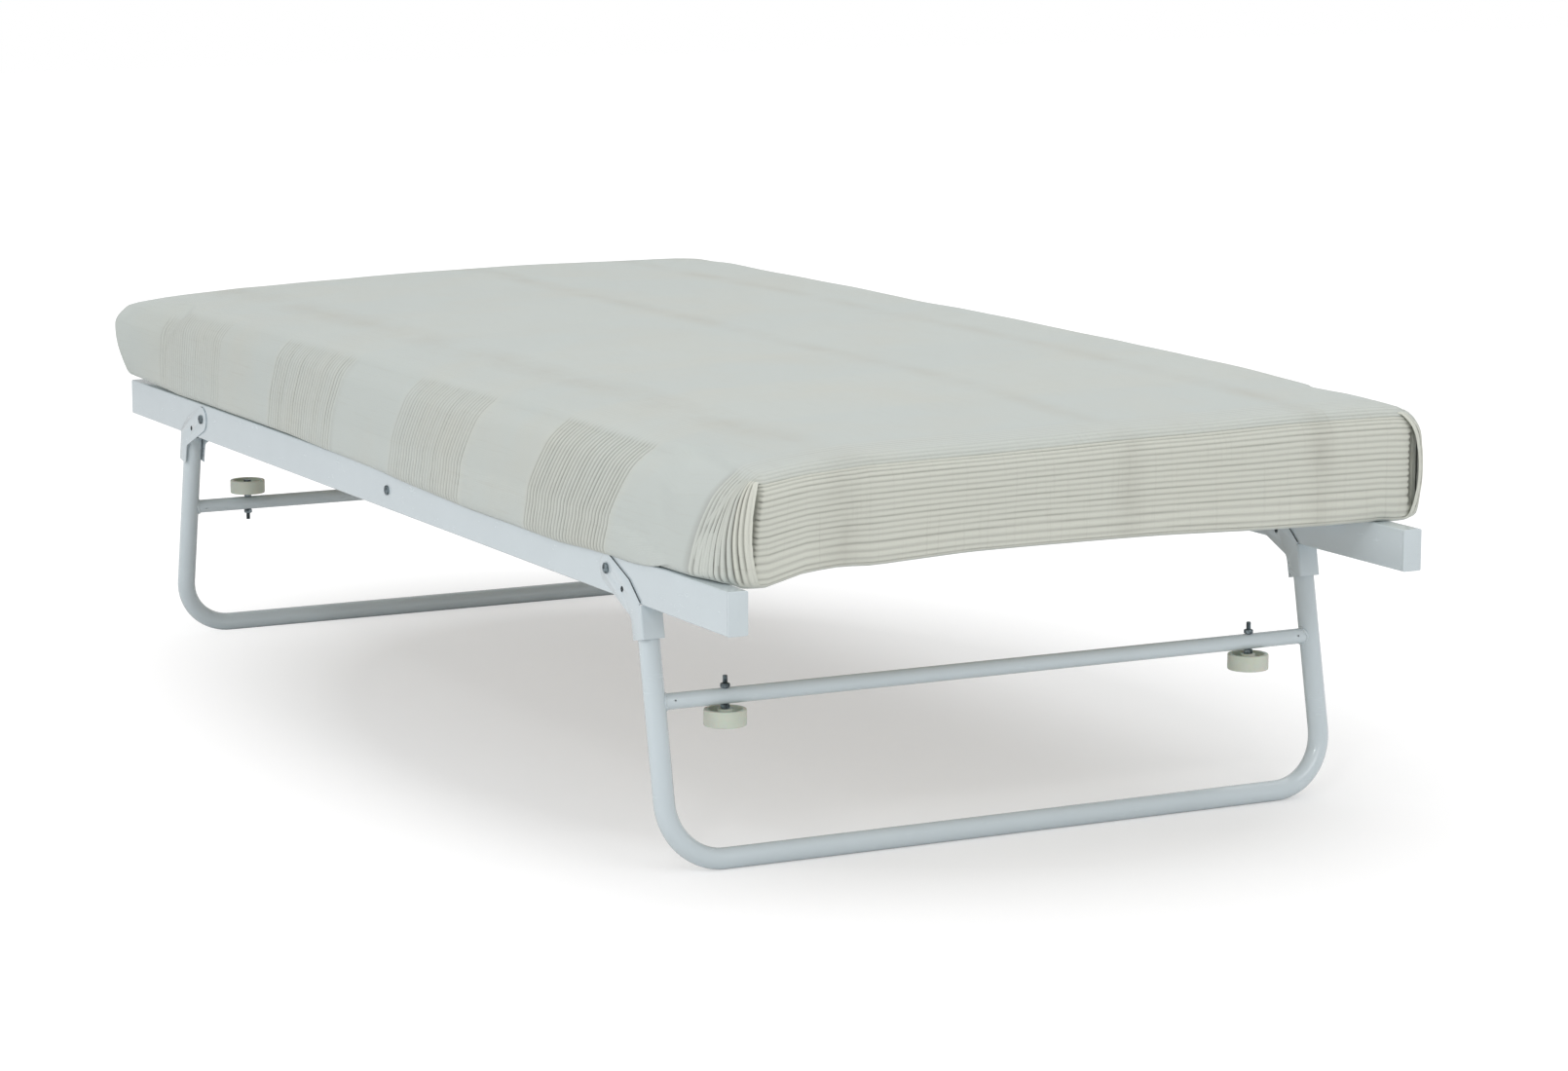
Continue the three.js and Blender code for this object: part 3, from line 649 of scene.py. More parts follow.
PIVOT = Vector(JOINTS["leg_fold_foot"]["pos_m"])
LOCK_HOLE = (42 * MM, -18 * MM)  # from the pivot, out and up
BOLT_HOLE = 3.3 * MM  # radius
PIVOT_HOLE = 4.3 * MM
RAIL_LOCK_HOLE = 3.3 * MM
BRACKET_LOCK_HOLE = 3.6 * MM
PLUG_LENGTH = 22 * MM
CAP_WALL = 2 * MM
SLATS = [f"slat_{number:02d}" for number in range(1, 13)]
SLAT_THICKNESS = 8 * MM
SLAT_STRAIGHT_END = 25 * MM
STUD_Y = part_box("slat_01")[1].y - 12 * MM  # how far out from the middle the slats' studs stand
LEDGE_SHEET = 2 * MM
NOTCH_SPAN = (-26 * MM, 38 * MM)  # from the pivot
NOTCH_DEPTH = 11.2 * MM


def rail_shape(side, settings):
    """A rectangular tube with rounded corners, drilled for the pivots, the locks and the centre tie."""
    low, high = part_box(f"side_rail_{side}")
    middle = (low + high) / 2
    shape = block(*zip(low, high))
    ends = [face for face in shape.faces if abs(face.normal.x) > 0.9]
    bmesh.ops.delete(shape, geom=ends, context="FACES_ONLY")
    bevel(shape, edges_along(shape, 0), settings.rail_corner, 6)
    face_outwards(shape)
    thicken(shape, settings.tube_wall, shape.faces[0], middle)
    tie = box_centre(f"centre_tube_bolt_{side}")
    holes = [(sign * PIVOT.x, PIVOT.z, PIVOT_HOLE) for sign in ENDS.values()]
    for sign in ENDS.values():
        holes.append((sign * (PIVOT.x + LOCK_HOLE[0]), PIVOT.z + LOCK_HOLE[1], RAIL_LOCK_HOLE))
    holes.append((tie.x, tie.z, BOLT_HOLE))
    width = high.y - low.y
    return cut(shape, [drill(radius, (x, middle.y, z), Y_AXIS, width) for x, z, radius in holes])


def cap_shape(side, end, settings):
    """A flush plastic cap: a rounded flange, and a hollow plug inside the rail."""
    low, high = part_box(f"rail_end_cap_{side}_{end}")
    outer = ENDS[end]
    face_x, plug_end = (high.x, low.x) if outer > 0 else (low.x, high.x)
    inner_x = face_x - outer * CAP_WALL

    def within(start, stop, inset, rounding=0.0):
        ys, zs = (low.y + inset, high.y - inset), (low.z + inset, high.z - inset)
        return block((start, stop), ys, zs, rounding)

    shape = within(face_x, inner_x, 0)
    bevel(shape, edges_along(shape, 0, MM), settings.rail_corner, 5)
    bevel(shape, edges_at(shape, x=face_x), 0.7 * MM)
    inset = settings.tube_wall + 0.3 * MM
    plug = within(plug_end, inner_x, inset, 0.5 * MM)
    hollow = within(plug_end - outer * MM, inner_x - outer * MM, inset + CAP_WALL)
    return join(shape, cut(plug, [hollow]))


def tie_shape(node, settings):
    """A round tie between the rails, with weld beads or, on the centre tie, threaded plugs in its ends."""
    size = box_size(node)
    radius, half = size.z / 2, size.y / 2
    bore = radius - settings.tube_wall
    shape = turned([(radius, -half), (radius, half), (bore, half), (bore, -half)])
    for sign in (-1, 1):
        end, plug_end = sign * half, sign * (half - PLUG_LENGTH)
        if node.endswith("centre"):
            join(shape, turned([(BOLT_HOLE, end), (bore, end), (bore, plug_end), (BOLT_HOLE, plug_end)]))
        else:
            seat = sign * (half - 0.6 * MM)
            join(shape, weld_bead(radius, 1.5 * MM, lambda angle: seat, 3 + sign))
    move(shape, Matrix.Translation(box_centre(node)) @ turn_to(Y_AXIS))
    return shape


def darken_lock_hole(piece, end):
    """Paints shade on the drilled walls of an end's lock hole, in the piece's second material."""
    axis = Vector((ENDS[end] * (PIVOT.x + LOCK_HOLE[0]), PIVOT.z + LOCK_HOLE[1]))
    for face in piece.data.polygons:
        away = (face.center.xz - axis).length
        if abs(face.normal.y) < 0.85 and away < 4 * MM:
            face.material_index = 1


class COT_OT_rails(bpy.types.Operator):
    """Build the two side rails and the caps in their ends"""

    bl_idname = "cot.rails"
    bl_label = "Side rails and caps"

    def execute(self, context):
        settings = context.scene.cot_frame
        for side in SIDES:
            node = f"side_rail_{side}"
            rail = add_piece(f"rail_{side}", rail_shape(side, settings), "powder_coat", "frame", [node])
            # the second material is painted shade, for the walls of the lock holes
            rail.data.materials.append(finish_of("sheared_edge"))
            for end in ENDS:
                darken_lock_hole(rail, end)
                shape = cap_shape(side, end, settings)
                node = f"rail_end_cap_{side}_{end}"
                add_piece(f"cap_{side}_{end}", shape, "cap_moulding", "frame", [node])
        return {"FINISHED"}


class COT_OT_ties(bpy.types.Operator):
    """Build the round ties between the rails"""

    bl_idname = "cot.ties"
    bl_label = "Ties"

    def execute(self, context):
        for place in ("head", "centre", "foot"):
            node = f"cross_tube_{place}"
            shape = tie_shape(node, context.scene.cot_frame)
            add_piece(f"tie_{place}", shape, "powder_coat", "frame", [node])
        return {"FINISHED"}


def slat_shape(node):
    """A bowed slat with rounded edges and a hole near each end for the stud that holds it."""
    low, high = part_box(node)
    top = low.z + SLAT_THICKNESS
    shape = block((low.x, high.x), (low.y, high.y), (low.z, top))
    bmesh.ops.subdivide_edges(shape, edges=edges_along(shape, 1), cuts=47, use_grid_fill=True)
    bevel(shape, edges_at(shape, z=low.z) + edges_at(shape, z=top), 2 * MM, 4)
    for vert in shape.verts:
        share = min(abs(vert.co.y) / (high.y - SLAT_STRAIGHT_END), 1)
        vert.co.z += (high.z - top) * (1 - share ** 2) ** 2
    middle = (low.x + high.x) / 2
    return cut(shape, [drill(BOLT_HOLE, (middle, sign * STUD_Y, low.z), Z_AXIS, 0.02) for sign in (-1, 1)])


def ledge_shape(side):
    """A steel angle along the rail, notched for the brackets, with a domed stud for each slat."""
    low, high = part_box(f"slat_ledge_{side}")
    sign = SIDES[side]
    outer, inner = (high.y, low.y) if sign > 0 else (low.y, high.y)
    shape = bmesh.new()
    line = [shape.verts.new((low.x, y, z)) for y, z in ((outer, high.z), (outer, low.z), (inner, low.z))]
    extrude(shape, [shape.edges.new(pair) for pair in zip(line, line[1:])], (high.x - low.x, 0, 0))
    bevel(shape, edges_at(shape, y=outer, z=low.z), 3 * MM, 4)
    face_outwards(shape)
    wall = max(shape.faces, key=lambda face: abs(face.normal.y) * face.calc_area())
    thicken(shape, LEDGE_SHEET, wall, Vector((0, 0, 0)))
    notches = []
    for end in ENDS.values():
        xs = [end * (PIVOT.x + place) for place in NOTCH_SPAN]
        ys = (outer + sign * MM, outer - sign * NOTCH_DEPTH)
        notches.append(block(xs, ys, (low.z - MM, high.z + MM)))
    shape = cut(shape, notches)
    for node in SLATS:
        stud = rod(3 * MM, -LEDGE_SHEET, 6 * MM, 20, 1.2 * MM)
        move(stud, Matrix.Translation((box_centre(node).x, sign * STUD_Y, low.z + LEDGE_SHEET)))
        join(shape, stud)
    return shape


class COT_OT_slats(bpy.types.Operator):
    """Build the bowed slats and the steel ledges that carry them"""

    bl_idname = "cot.slats"
    bl_label = "Slats and ledges"

    def execute(self, context):
        for node in SLATS:
            add_piece(node.replace("slat", "board"), slat_shape(node), "slat_beech", "frame", [node])
        for side in SIDES:
            add_piece(f"ledge_{side}", ledge_shape(side), "powder_coat", "frame", [f"slat_ledge_{side}"])
        return {"FINISHED"}


# ------------------------------------------------------------------ leg frames

FIT = 0.5 * MM  # between a bracket and its leg tube
COPE_GAP = 0.1 * MM  # between the crossbar's ends and the leg tubes
CROSSBAR_WALL = 1.2 * MM
VENT_HOLE = 1.1 * MM  # radius
VENT_PLACE = 22 * MM  # from the leg's axis
SOCKET_HOLE = 1.3 * MM  # radius
SOCKET_HOLE_HEIGHTS = (18 * MM, 11 * MM, 4 * MM)  # up from the bracket's mouth
SOCKET_HOLE_INSET = 4 * MM  # from the bracket's free edge
SHEET_EDGE = 0.25 * MM
WEB_GAP = 0.3 * MM  # between the rail's underside and the bracket's web
BRACKET = {
    "end_radius": 18 * MM,
    "arm_slope": math.radians(22),
    "shoulder": (60 * MM, -4 * MM),
    "back_x": 62 * MM,
    "back_drop": 10 * MM,
    "depth": 26 * MM,
    "socket": 42 * MM,
}


class LegPlan:
    """Where things are on the foot end's leg frame, from its pivot and its lean."""

    def __init__(self, settings):
        splay = settings.leg_splay
        self.down = Vector((math.sin(splay), 0, -math.cos(splay)))
        self.out = Vector((math.cos(splay), 0, math.sin(splay)))
        self.offset = settings.leg_offset
        self.radius = settings.leg_diameter / 2
        self.rail_y = box_centre("side_rail_left").y
        self.rail_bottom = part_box("side_rail_left")[0].z
        self.reach = (PIVOT.z + self.offset * self.out.z - self.radius) / -self.down.z
        self.half_bracket = self.radius + FIT + settings.bracket_sheet

    def point(self, distance, y=0.0, offset=None):
        """A point this far down the leg, on a line beside its axis."""
        aside = self.offset if offset is None else offset
        return Vector((PIVOT.x, y, PIVOT.z)) + self.out * aside + self.down * distance

    def distance_at(self, z, offset=None):
        """How far down the leg a height lies."""
        return (z - self.point(0, 0, offset).z) / self.down.z


def leg_tube_shape(settings):
    """One bent tube: down one leg, along the floor and up the other, swept from a circle."""
    plan = LegPlan(settings)
    shape = bmesh.new()
    top = plan.distance_at(plan.rail_bottom - 2 * MM - plan.radius * plan.out.z)
    start = plan.point(top, -plan.rail_y)
    matrix = Matrix.Translation(start) @ turn_to(plan.down)
    front = edges_of(bmesh.ops.create_circle(shape, segments=40, radius=plan.radius, matrix=matrix)["verts"])
    bend = settings.leg_bend
    straight = plan.reach - bend - top

    def run(step):
        grown = only(EDGE, extrude(shape, front, step))
        front[:] = [edge for edge in grown if all(len(vert.link_edges) == 3 for vert in edge.verts)]

    def turn(side):
        geometry = front + list({vert for edge in front for vert in edge.verts})
        centre = plan.point(plan.reach - bend, side * (plan.rail_y - bend))
        axis = plan.down.cross(Vector(Y_AXIS))
        front[:] = only(EDGE, spin(shape, geometry, math.pi / 2, 20, centre, axis, weld=False))

    run(plan.down * straight)
    turn(-1)
    run(Vector((0, 2 * (plan.rail_y - bend), 0)))
    turn(1)
    run(-plan.down * straight)
    face_outwards(shape)
    thicken(shape, settings.tube_wall, shape.faces[0], start)
    return shape


def crossbar_shape(settings):
    """The foot end's bar between the legs, coped onto them, with its weld beads and the axles' holes."""
    plan = LegPlan(settings)
    radius = box_size("crossbar_foot").z / 2
    half = plan.rail_y
    aside = plan.down.cross(Vector(Y_AXIS))
    shape = rod(radius, -half, half, 40, caps=False)
    move(shape, turn_to(Y_AXIS))
    face_outwards(shape)
    for vert in shape.verts:
        reach = math.sqrt(max((plan.radius + COPE_GAP) ** 2 - vert.co.dot(aside) ** 2, 0))
        vert.co.y = math.copysign(half - reach, vert.co.y)
    bmesh.ops.solidify(shape, geom=shape.faces[:], thickness=CROSSBAR_WALL)

    def seat(angle):
        sideways = 0.98 * radius * Vector((math.cos(angle), 0, math.sin(angle))).dot(aside)
        return half - math.sqrt(plan.radius ** 2 - sideways ** 2) - 0.3 * MM

    axle = abs(box_centre("axle_bolt_foot_left").y)
    holes = []
    beads = []
    for sign in SIDES.values():
        holes.append(drill(BOLT_HOLE, (0, sign * axle, 0), Z_AXIS, 0.03))
        holes.append(drill(VENT_HOLE, (0, sign * (half - VENT_PLACE), 0), (1, 0, 0.25), 0.02))
        beads.append(weld_bead(radius, 1.7 * MM, seat, 5 + sign))
        move(beads[-1], Matrix.Rotation(-sign * math.pi / 2, 4, "X"))
    shape = join(cut(shape, holes), *beads)
    move(shape, Matrix.Translation(box_centre("crossbar_foot")))
    return shape


def bracket_outline(plan, settings):
    """The bracket seen from the side, from its pivot, as points (x, z). The first two are the web's edge."""
    fold = plan.offset + plan.half_bracket
    web_top = plan.rail_bottom - WEB_GAP
    top = plan.distance_at(web_top)
    bottom = top + BRACKET["socket"]

    def flat(distance, offset):
        return (plan.point(distance, 0, offset) - PIVOT).xz

    mouth_fold = flat(bottom, fold)
    mouth_free = flat(bottom, fold - BRACKET["depth"])
    web_end = flat(plan.distance_at(web_top, fold), fold)
    shoulder = Vector(BRACKET["shoulder"])
    radius = BRACKET["end_radius"]
    slope = math.tan(BRACKET["arm_slope"])
    low_angle = 1.5 * math.pi - BRACKET["arm_slope"]
    top_angle = math.atan2(shoulder.y, shoulder.x) + math.acos(radius / shoulder.length)
    arc = []
    for step in range(21):
        angle = top_angle + (low_angle - top_angle) * step / 20
        arc.append(Vector((radius * math.cos(angle), radius * math.sin(angle))))
    back = Vector((BRACKET["back_x"], arc[-1].y - (BRACKET["back_x"] - arc[-1].x) * slope))

    def free_edge(z):
        return Vector((mouth_free.x - (z - mouth_free.y) * math.tan(settings.leg_splay), z))

    corner = free_edge(back.y - (free_edge(back.y).x - back.x) * slope)
    curve = rounded(back, corner, free_edge(corner.y - BRACKET["back_drop"]), 8)
    return [mouth_fold, web_end, flat(top, fold), shoulder, *arc, *curve, mouth_free]


def bracket_shape(settings):
    """A bracket of folded sheet about its pivot: two cheeks joined by a web, with rounded folds."""
    plan = LegPlan(settings)
    half = plan.half_bracket
    shape = bmesh.new()
    rim = [shape.verts.new((point.x, -half, point.y)) for point in bracket_outline(plan, settings)]
    cheek = shape.faces.new(rim)
    grown = bmesh.ops.extrude_face_region(shape, geom=[cheek])["geom"]
    bmesh.ops.translate(shape, verts=only(VERT, grown), vec=(0, 2 * half, 0))
    if not cheek.is_valid:
        shape.faces.new(rim)
    walls = []
    for face in shape.faces:
        spans = max(vert.co.y for vert in face.verts) - min(vert.co.y for vert in face.verts)
        if spans > half and not set(rim[:2]).issubset(face.verts):
            walls.append(face)
    bmesh.ops.delete(shape, geom=walls, context="FACES_ONLY")
    loose = [edge for edge in shape.edges if not edge.link_faces]
    bmesh.ops.delete(shape, geom=loose, context="EDGES")
    folds = [edge for edge in shape.edges if len(edge.link_faces) == 2]
    bevel(shape, folds, settings.bracket_fold, 5)
    face_outwards(shape)
    cheek = max(shape.faces, key=lambda face: face.calc_area())
    thicken(shape, settings.bracket_sheet, cheek, Vector((0, 0, 0)))
    holes = [
        drill(PIVOT_HOLE, (0, 0, 0), Y_AXIS, 0.03),
        drill(BRACKET_LOCK_HOLE, (LOCK_HOLE[0], 0, LOCK_HOLE[1]), Y_AXIS, 0.03),
    ]
    bottom = plan.distance_at(plan.rail_bottom - WEB_GAP) + BRACKET["socket"]
    free_edge = plan.offset + half - BRACKET["depth"]
    for height in SOCKET_HOLE_HEIGHTS:
        place = plan.point(bottom - height, 0, free_edge + SOCKET_HOLE_INSET) - PIVOT
        holes.append(drill(SOCKET_HOLE, (place.x, -half, place.z), Y_AXIS, 4 * MM))
    shape = cut(shape, holes)
    edges = [edge for edge in sharp_edges(shape, 60) if edge.calc_length() > 0.2 * MM]
    bevel(shape, edges, SHEET_EDGE, 2)
    return shape


class COT_OT_leg_frames(bpy.types.Operator):
    """Build the bent leg tubes, the crossbars and the folded brackets"""

    bl_idname = "cot.leg_frames"
    bl_label = "Leg frames"

    def execute(self, context):
        settings = context.scene.cot_frame
        plan = LegPlan(settings)
        tube = leg_tube_shape(settings)
        bar = crossbar_shape(settings)
        folded = bracket_shape(settings)
        for end in ENDS:
            body = f"leg_frame_{end}"
            for name, shape, node in (("bent_tube", tube, "leg_tube"), ("bar", bar, "crossbar")):
                copy = moved_copy(shape, end_matrix(end))
                add_piece(f"{name}_{end}", copy, "powder_coat", body, [f"{node}_{end}"])
            for side, sign in SIDES.items():
                place = Matrix.Translation((ENDS[end] * PIVOT.x, sign * plan.rail_y, PIVOT.z))
                copy = moved_copy(folded, place @ Matrix.Diagonal((ENDS[end], sign, 1, 1)))
                name = f"bracket_{end}_{side}"
                piece = add_piece(f"folded_{name}", copy, "powder_coat", body, [name], sharp=35)
                self.paint_edge_shade(piece, Vector((0.6 * ENDS[end], 0, 0.8)), plan.rail_bottom)
                darken_lock_hole(piece, end)
        for shape in (tube, bar, folded):
            shape.free()
        return {"FINISHED"}

    def paint_edge_shade(self, piece, facing, above):
        """Paints shade on the upper edges of a bracket, for the dark gap along the rail."""
        piece.data.materials.append(finish_of("sheared_edge"))
        for face in piece.data.polygons:
            if abs(face.normal.y) < 0.8 and face.normal.dot(facing) > 0.6 and face.center.z > above:
                face.material_index = 1


# ------------------------------------------------------------------ fasteners

M6_RADIUS = 3 * MM
FLATS = 10 * MM  # across a nut or a bolt head
CORNER = FLATS / math.sqrt(3)
PAN_RADIUS = 6.35 * MM
PAN_HEIGHT = 3.4 * MM
PAN_RIM = 1.4 * MM
TIE_BOLT = (3 * MM, 20 * MM)  # radius of the shoulder and length of the thread
PIVOT_BOLT = (4 * MM, 7.6 * MM)
AXLE_HEAD = 4 * MM
AXLE_THREAD = 27 * MM
NUT_HEIGHT = 5 * MM
NUT_TURNS = {"hub": 12, "lock": 37}  # degrees


def threaded(radius, low, high, pitch):
    """A helical thread ridge on a bar along Z, between two heights."""
    shape = bmesh.new()
    root = radius - 0.55 * pitch
    steps = 20
    ridge = [(root, 0.05), (radius, 0.45), (radius, 0.55), (root, 0.95)]
    verts, edges = closed_line(shape, [(reach, low + share * pitch) for reach, share in ridge])
    bmesh.ops.contextual_create(shape, geom=verts)
    count = max(int(((high - low) / pitch - 1) * steps), 1)
    geometry = shape.faces[:] + edges + verts
    spin(shape, geometry, math.tau * count / steps, count, rise=pitch / steps, weld=False)
    face_outwards(shape)
    return join(shape, rod(root + 0.02 * MM, low, high, 24, 0.3 * MM))


def pan_bolt_shape(length, shoulder, pitch, thread_length):
    """A pan-head bolt with a cross recess, a shoulder and a threaded end: head up, its seat at z = 0."""
    profile = [(0, 0), (PAN_RADIUS - 0.3 * MM, 0), (PAN_RADIUS, 0.3 * MM), (PAN_RADIUS, PAN_RIM)]
    for step in range(1, 8):
        angle = step / 8 * math.pi / 2
        height = PAN_RIM + (PAN_HEIGHT - PAN_RIM) * math.sin(angle)
        profile.append((PAN_RADIUS * math.cos(angle) ** 0.8, height))
    profile.append((0, PAN_HEIGHT))
    slots = []
    for turn in (20, 110):
        slot = block((-3.1 * MM, 3.1 * MM), (-0.6 * MM, 0.6 * MM), (1.5 * MM, 4.5 * MM))
        for vert in slot.verts:
            if vert.co.z < 2 * MM:
                vert.co.x *= 0.55
                vert.co.y *= 0.7
        move(slot, Matrix.Rotation(math.radians(turn), 4, "Z"))
        slots.append(slot)
    shape = cut(turned(profile, 40), slots)
    thread_top = thread_length - length
    return join(shape, rod(shoulder, thread_top, 0.1 * MM), threaded(M6_RADIUS, -length, thread_top, pitch))


def hexagon(low, high, barrel):
    """A hexagon along Z, its corners cut to the profile of a barrel."""
    return cut(rod(CORNER, low, high, 6), [turned(barrel)], "INTERSECT")


def nut_shape(height):
    """A hexagon nut with chamfered corners and mouths, centred on z = 0."""
    half = height / 2
    chamfer = (CORNER - FLATS / 2 * 0.97) * math.tan(math.radians(30)) + 0.15 * MM
    face, widest = FLATS / 2 * 0.96, CORNER * 1.01
    mouth, bore = 3.35 * MM, 2.9 * MM
    side = [(face, -half), (widest, chamfer - half), (widest, half - chamfer), (face, half)]
    shape = hexagon(-half, half, [(0, -half), *side, (0, half)])
    hole = [(mouth, -half), (bore, 0.5 * MM - half), (bore, half - 0.5 * MM), (mouth, half)]
    past = half + MM
    return cut(shape, [turned([(0, -past), (mouth, -past), *hole, (mouth, past), (0, past)], 32)])


def axle_bolt_shape(node, pitch):
    """A hexagon-head bolt in its node's place, head down at the foot end and head up at the head end."""
    low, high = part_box(node)
    centre = (low + high) / 2
    total = high.z - low.z
    tall = AXLE_HEAD
    plain_end = total - AXLE_THREAD
    widest = CORNER * 1.01
    head = hexagon(0, tall, [(0, 0), (FLATS / 2 * 0.95, 0), (widest, 0.5 * MM), (widest, tall), (0, tall)])
    shank = rod(M6_RADIUS, tall - 0.2 * MM, plain_end)
    shape = join(head, shank, threaded(M6_RADIUS, plain_end, total, pitch))
    head_down = node.startswith("axle_bolt_foot")
    place = Matrix.Translation((centre.x, centre.y, low.z if head_down else high.z))
    move(shape, place @ Matrix.Rotation(0 if head_down else math.pi, 4, "X"))
    return shape


def copy_at(shape, node, turn):
    """A turned copy of a shape at the middle of a node."""
    return moved_copy(shape, Matrix.Translation(box_centre(node)) @ turn)


class COT_OT_fasteners(bpy.types.Operator):
    """Build the bolts and nuts"""

    bl_idname = "cot.fasteners"
    bl_label = "Bolts and nuts"

    def execute(self, context):
        pitch = context.scene.cot_frame.thread_pitch
        nut = nut_shape(NUT_HEIGHT)
        for side in SIDES:
            self.bolt(f"centre_tube_bolt_{side}", SIDES[side], *TIE_BOLT, pitch)
            for end in ENDS:
                self.bolt(f"pivot_bolt_{end}_{side}", SIDES[side], *PIVOT_BOLT, pitch)
                node = f"pivot_nut_{end}_{side}"
                shape = copy_at(nut, node, turn_to(Y_AXIS))
                add_piece(f"hinge_nut_{end}_{side}", shape, "zinc_plate", "frame", [node])
                body = f"leg_frame_{end}"
                node = f"axle_bolt_{end}_{side}"
                add_piece(f"axle_{end}_{side}", axle_bolt_shape(node, pitch), "zinc_plate", body, [node])
                for kind, turn in NUT_TURNS.items():
                    node = f"{kind}_nut_{end}_{side}"
                    shape = copy_at(nut, node, Matrix.Rotation(math.radians(turn), 4, "Z"))
                    add_piece(f"axle_{kind}_nut_{end}_{side}", shape, "zinc_plate", body, [node])
        nut.free()
        return {"FINISHED"}

    def bolt(self, node, sign, shoulder, thread, pitch):
        """One pan-head bolt, pointing in from its side."""
        low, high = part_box(node)
        centre = (low + high) / 2
        shape = pan_bolt_shape(high.y - low.y - PAN_HEIGHT, shoulder, pitch, thread)
        seat_y = (high.y if sign > 0 else low.y) - sign * PAN_HEIGHT
        inwards = Matrix.Rotation(-sign * math.pi / 2, 4, "X")
        move(shape, Matrix.Translation((centre.x, seat_y, centre.z)) @ inwards)
        add_piece(f"screw_{node}", shape, "zinc_plate", "frame", [node])


# ------------------------------------------------------------------ wheels

# Half of a wheel's section in millimetres, as (radius, height, rounding).
WHEEL_SECTION = (
    (3.3, -5, 0.3), (8.8, -5, 0.8), (8.8, -2.5, 1.2), (20, -2.5, 1.2), (20, -9.5, 0.8), (25, -9.5, 1.4),
    (25, -0.25, 0.1), (25.15, 0, 0.05), (25, 0.25, 0.1), (25, 9.5, 1.4), (20, 9.5, 0.8), (20, 2.5, 1.2),
    (8.8, 2.5, 1.2), (8.8, 9.5, 0.8), (3.3, 9.5, 0.3),
)


def rounded(start, corner, stop, steps):
    """Points on a curve from start to stop that bends round a corner."""
    points = []
    for step in range(steps + 1):
        share = step / steps
        points.append(start * (1 - share) ** 2 + corner * 2 * share * (1 - share) + stop * share ** 2)
    return points


def wheel_profile():
    """Half of the wheel's section as (radius, height), with every corner rounded."""
    corners = [Vector(entry[:2]) * MM for entry in WHEEL_SECTION]
    points = []
    for index, corner in enumerate(corners):
        reach = WHEEL_SECTION[index][2] * MM
        before = corner + (corners[index - 1] - corner).normalized() * reach
        after = corner + (corners[(index + 1) % len(corners)] - corner).normalized() * reach
        points += [tuple(point) for point in rounded(before, corner, after, 4)]
    return points


class COT_OT_wheels(bpy.types.Operator):
    """Build the wheels"""

    bl_idname = "cot.wheels"
    bl_label = "Wheels"

    def execute(self, context):
        wheel = turned(wheel_profile(), 72)
        for end in ENDS:
            for side in SIDES:
                node = f"wheel_{end}_{side}"
                shape = copy_at(wheel, node, Matrix.Rotation(math.pi if end == "head" else 0, 4, "X"))
                add_piece(f"roller_{end}_{side}", shape, "nylon_moulding", node, [node])
        wheel.free()
        return {"FINISHED"}


# ------------------------------------------------------------------ mattress


# Crosswise bands of ribs along the cloth, from the middle: start, end, and how bold the ribs are. The last
# band runs over the foot end's edge and down its face.
RIB_BANDS = ((-831, -594, 0.4), (-396, -159, 0.7), (45, 277, 0.8), (475, 708, 1.0), (900, 1130, 1.0))

# Curves as (place, height) pairs in millimetres, along X unless said.
# How far the near side leans out.
SIDE_LEAN = ((-992, -5), (-800, 2), (-412, 9.5), (29, 15.5), (459, 18), (692, 20), (890, 17), (940, 9),
             (975, 3))
# How far the near side hangs below the rails' tops.
SIDE_HANG = ((-900, 0), (-740, 1), (-412, 2), (0, 7), (100, 10), (280, 13), (560, 13), (640, 9), (700, 7),
             (760, 9), (850, 9), (975, 4))
# How far the near side's lower edge spreads out.
SIDE_SKIRT = ((-400, 0), (0, 4), (300, 9), (620, 13), (700, 14), (900, 12), (975, 6))
# How far the underside is lifted at the head end.
HEAD_LIFT = ((-992, 9), (-930, 7), (-860, 3), (-800, 0))
# How the top stands over its even height.
TOP_ALONG = ((-990, -14), (-950, -8), (-900, -4), (-800, 0), (300, 0), (450, -1.5), (570, -4), (695, -7),
             (814, -10), (930, -16), (975, -20))
# The same across, by the share of the half width.
TOP_ACROSS = ((-1, -13), (-0.84, -2), (-0.65, 6), (-0.45, 10), (-0.2, 14), (0.2, 16), (0.6, 17), (0.9, 16),
              (1, 13))
# Across, by Y: how far the underside is lifted at the foot end.
FOOT_LIFT = ((-432, 0), (-422, -5), (-396, -6), (-375, -1), (-345, 6), (-300, 8), (-260, 5), (-134, 7),
             (0, 5), (130, 4), (270, 1), (410, 0), (460, 0))


EVERYWHERE = ()  # a spread's spans where every step is the coarse one
CLOTH_FRAMES = 20
CLOTH = {
    "quality": 6,
    "mass": 0.4,
    "tension_stiffness": 25,
    "compression_stiffness": 25,
    "shear_stiffness": 8,
    "bending_stiffness": 4,
    "use_pressure": True,
    "uniform_pressure_force": 4,
    "vertex_group_mass": "pins",
}
FOOT_BLEND = (0.78, 0.97)  # along X, where the foot end's slant comes in
HEAD_BLEND = (0.8, 0.97)  # along -X, where the head end's bulge comes in
NEAR_BLEND = (0.7, 0.96)  # shares of the half width, where the near side's shape comes in
FAR_FOOT_SPREAD = 7 * MM
FLAP_SEAT = 2.2 * MM  # how far the shell is sunk under a flap
POCKET_DEPTH = 10 * MM
HEAD_POCKET = 0.4  # how deep the head end's pockets and their painted shade are beside the foot end's
RIB_PITCH = 8.6 * MM
END_RIB_PITCH = 7 * MM
RIB_WIGGLE = 0.9 * MM
BAND_BLUR = 2.5 * MM
PLAN_GIVE = 0.05  # the foam lets the cover swell up, and hardly sideways
GROOVE_BIAS = 0.6  # how much of a rib's height lies under the cloth's even face
FLAP_COLUMNS = 64
FLAP_ROWS = 44
FLAP_ROOT = 40  # degrees back from the corner, along the side
FLAP_TIP = 76  # degrees past it, along the end
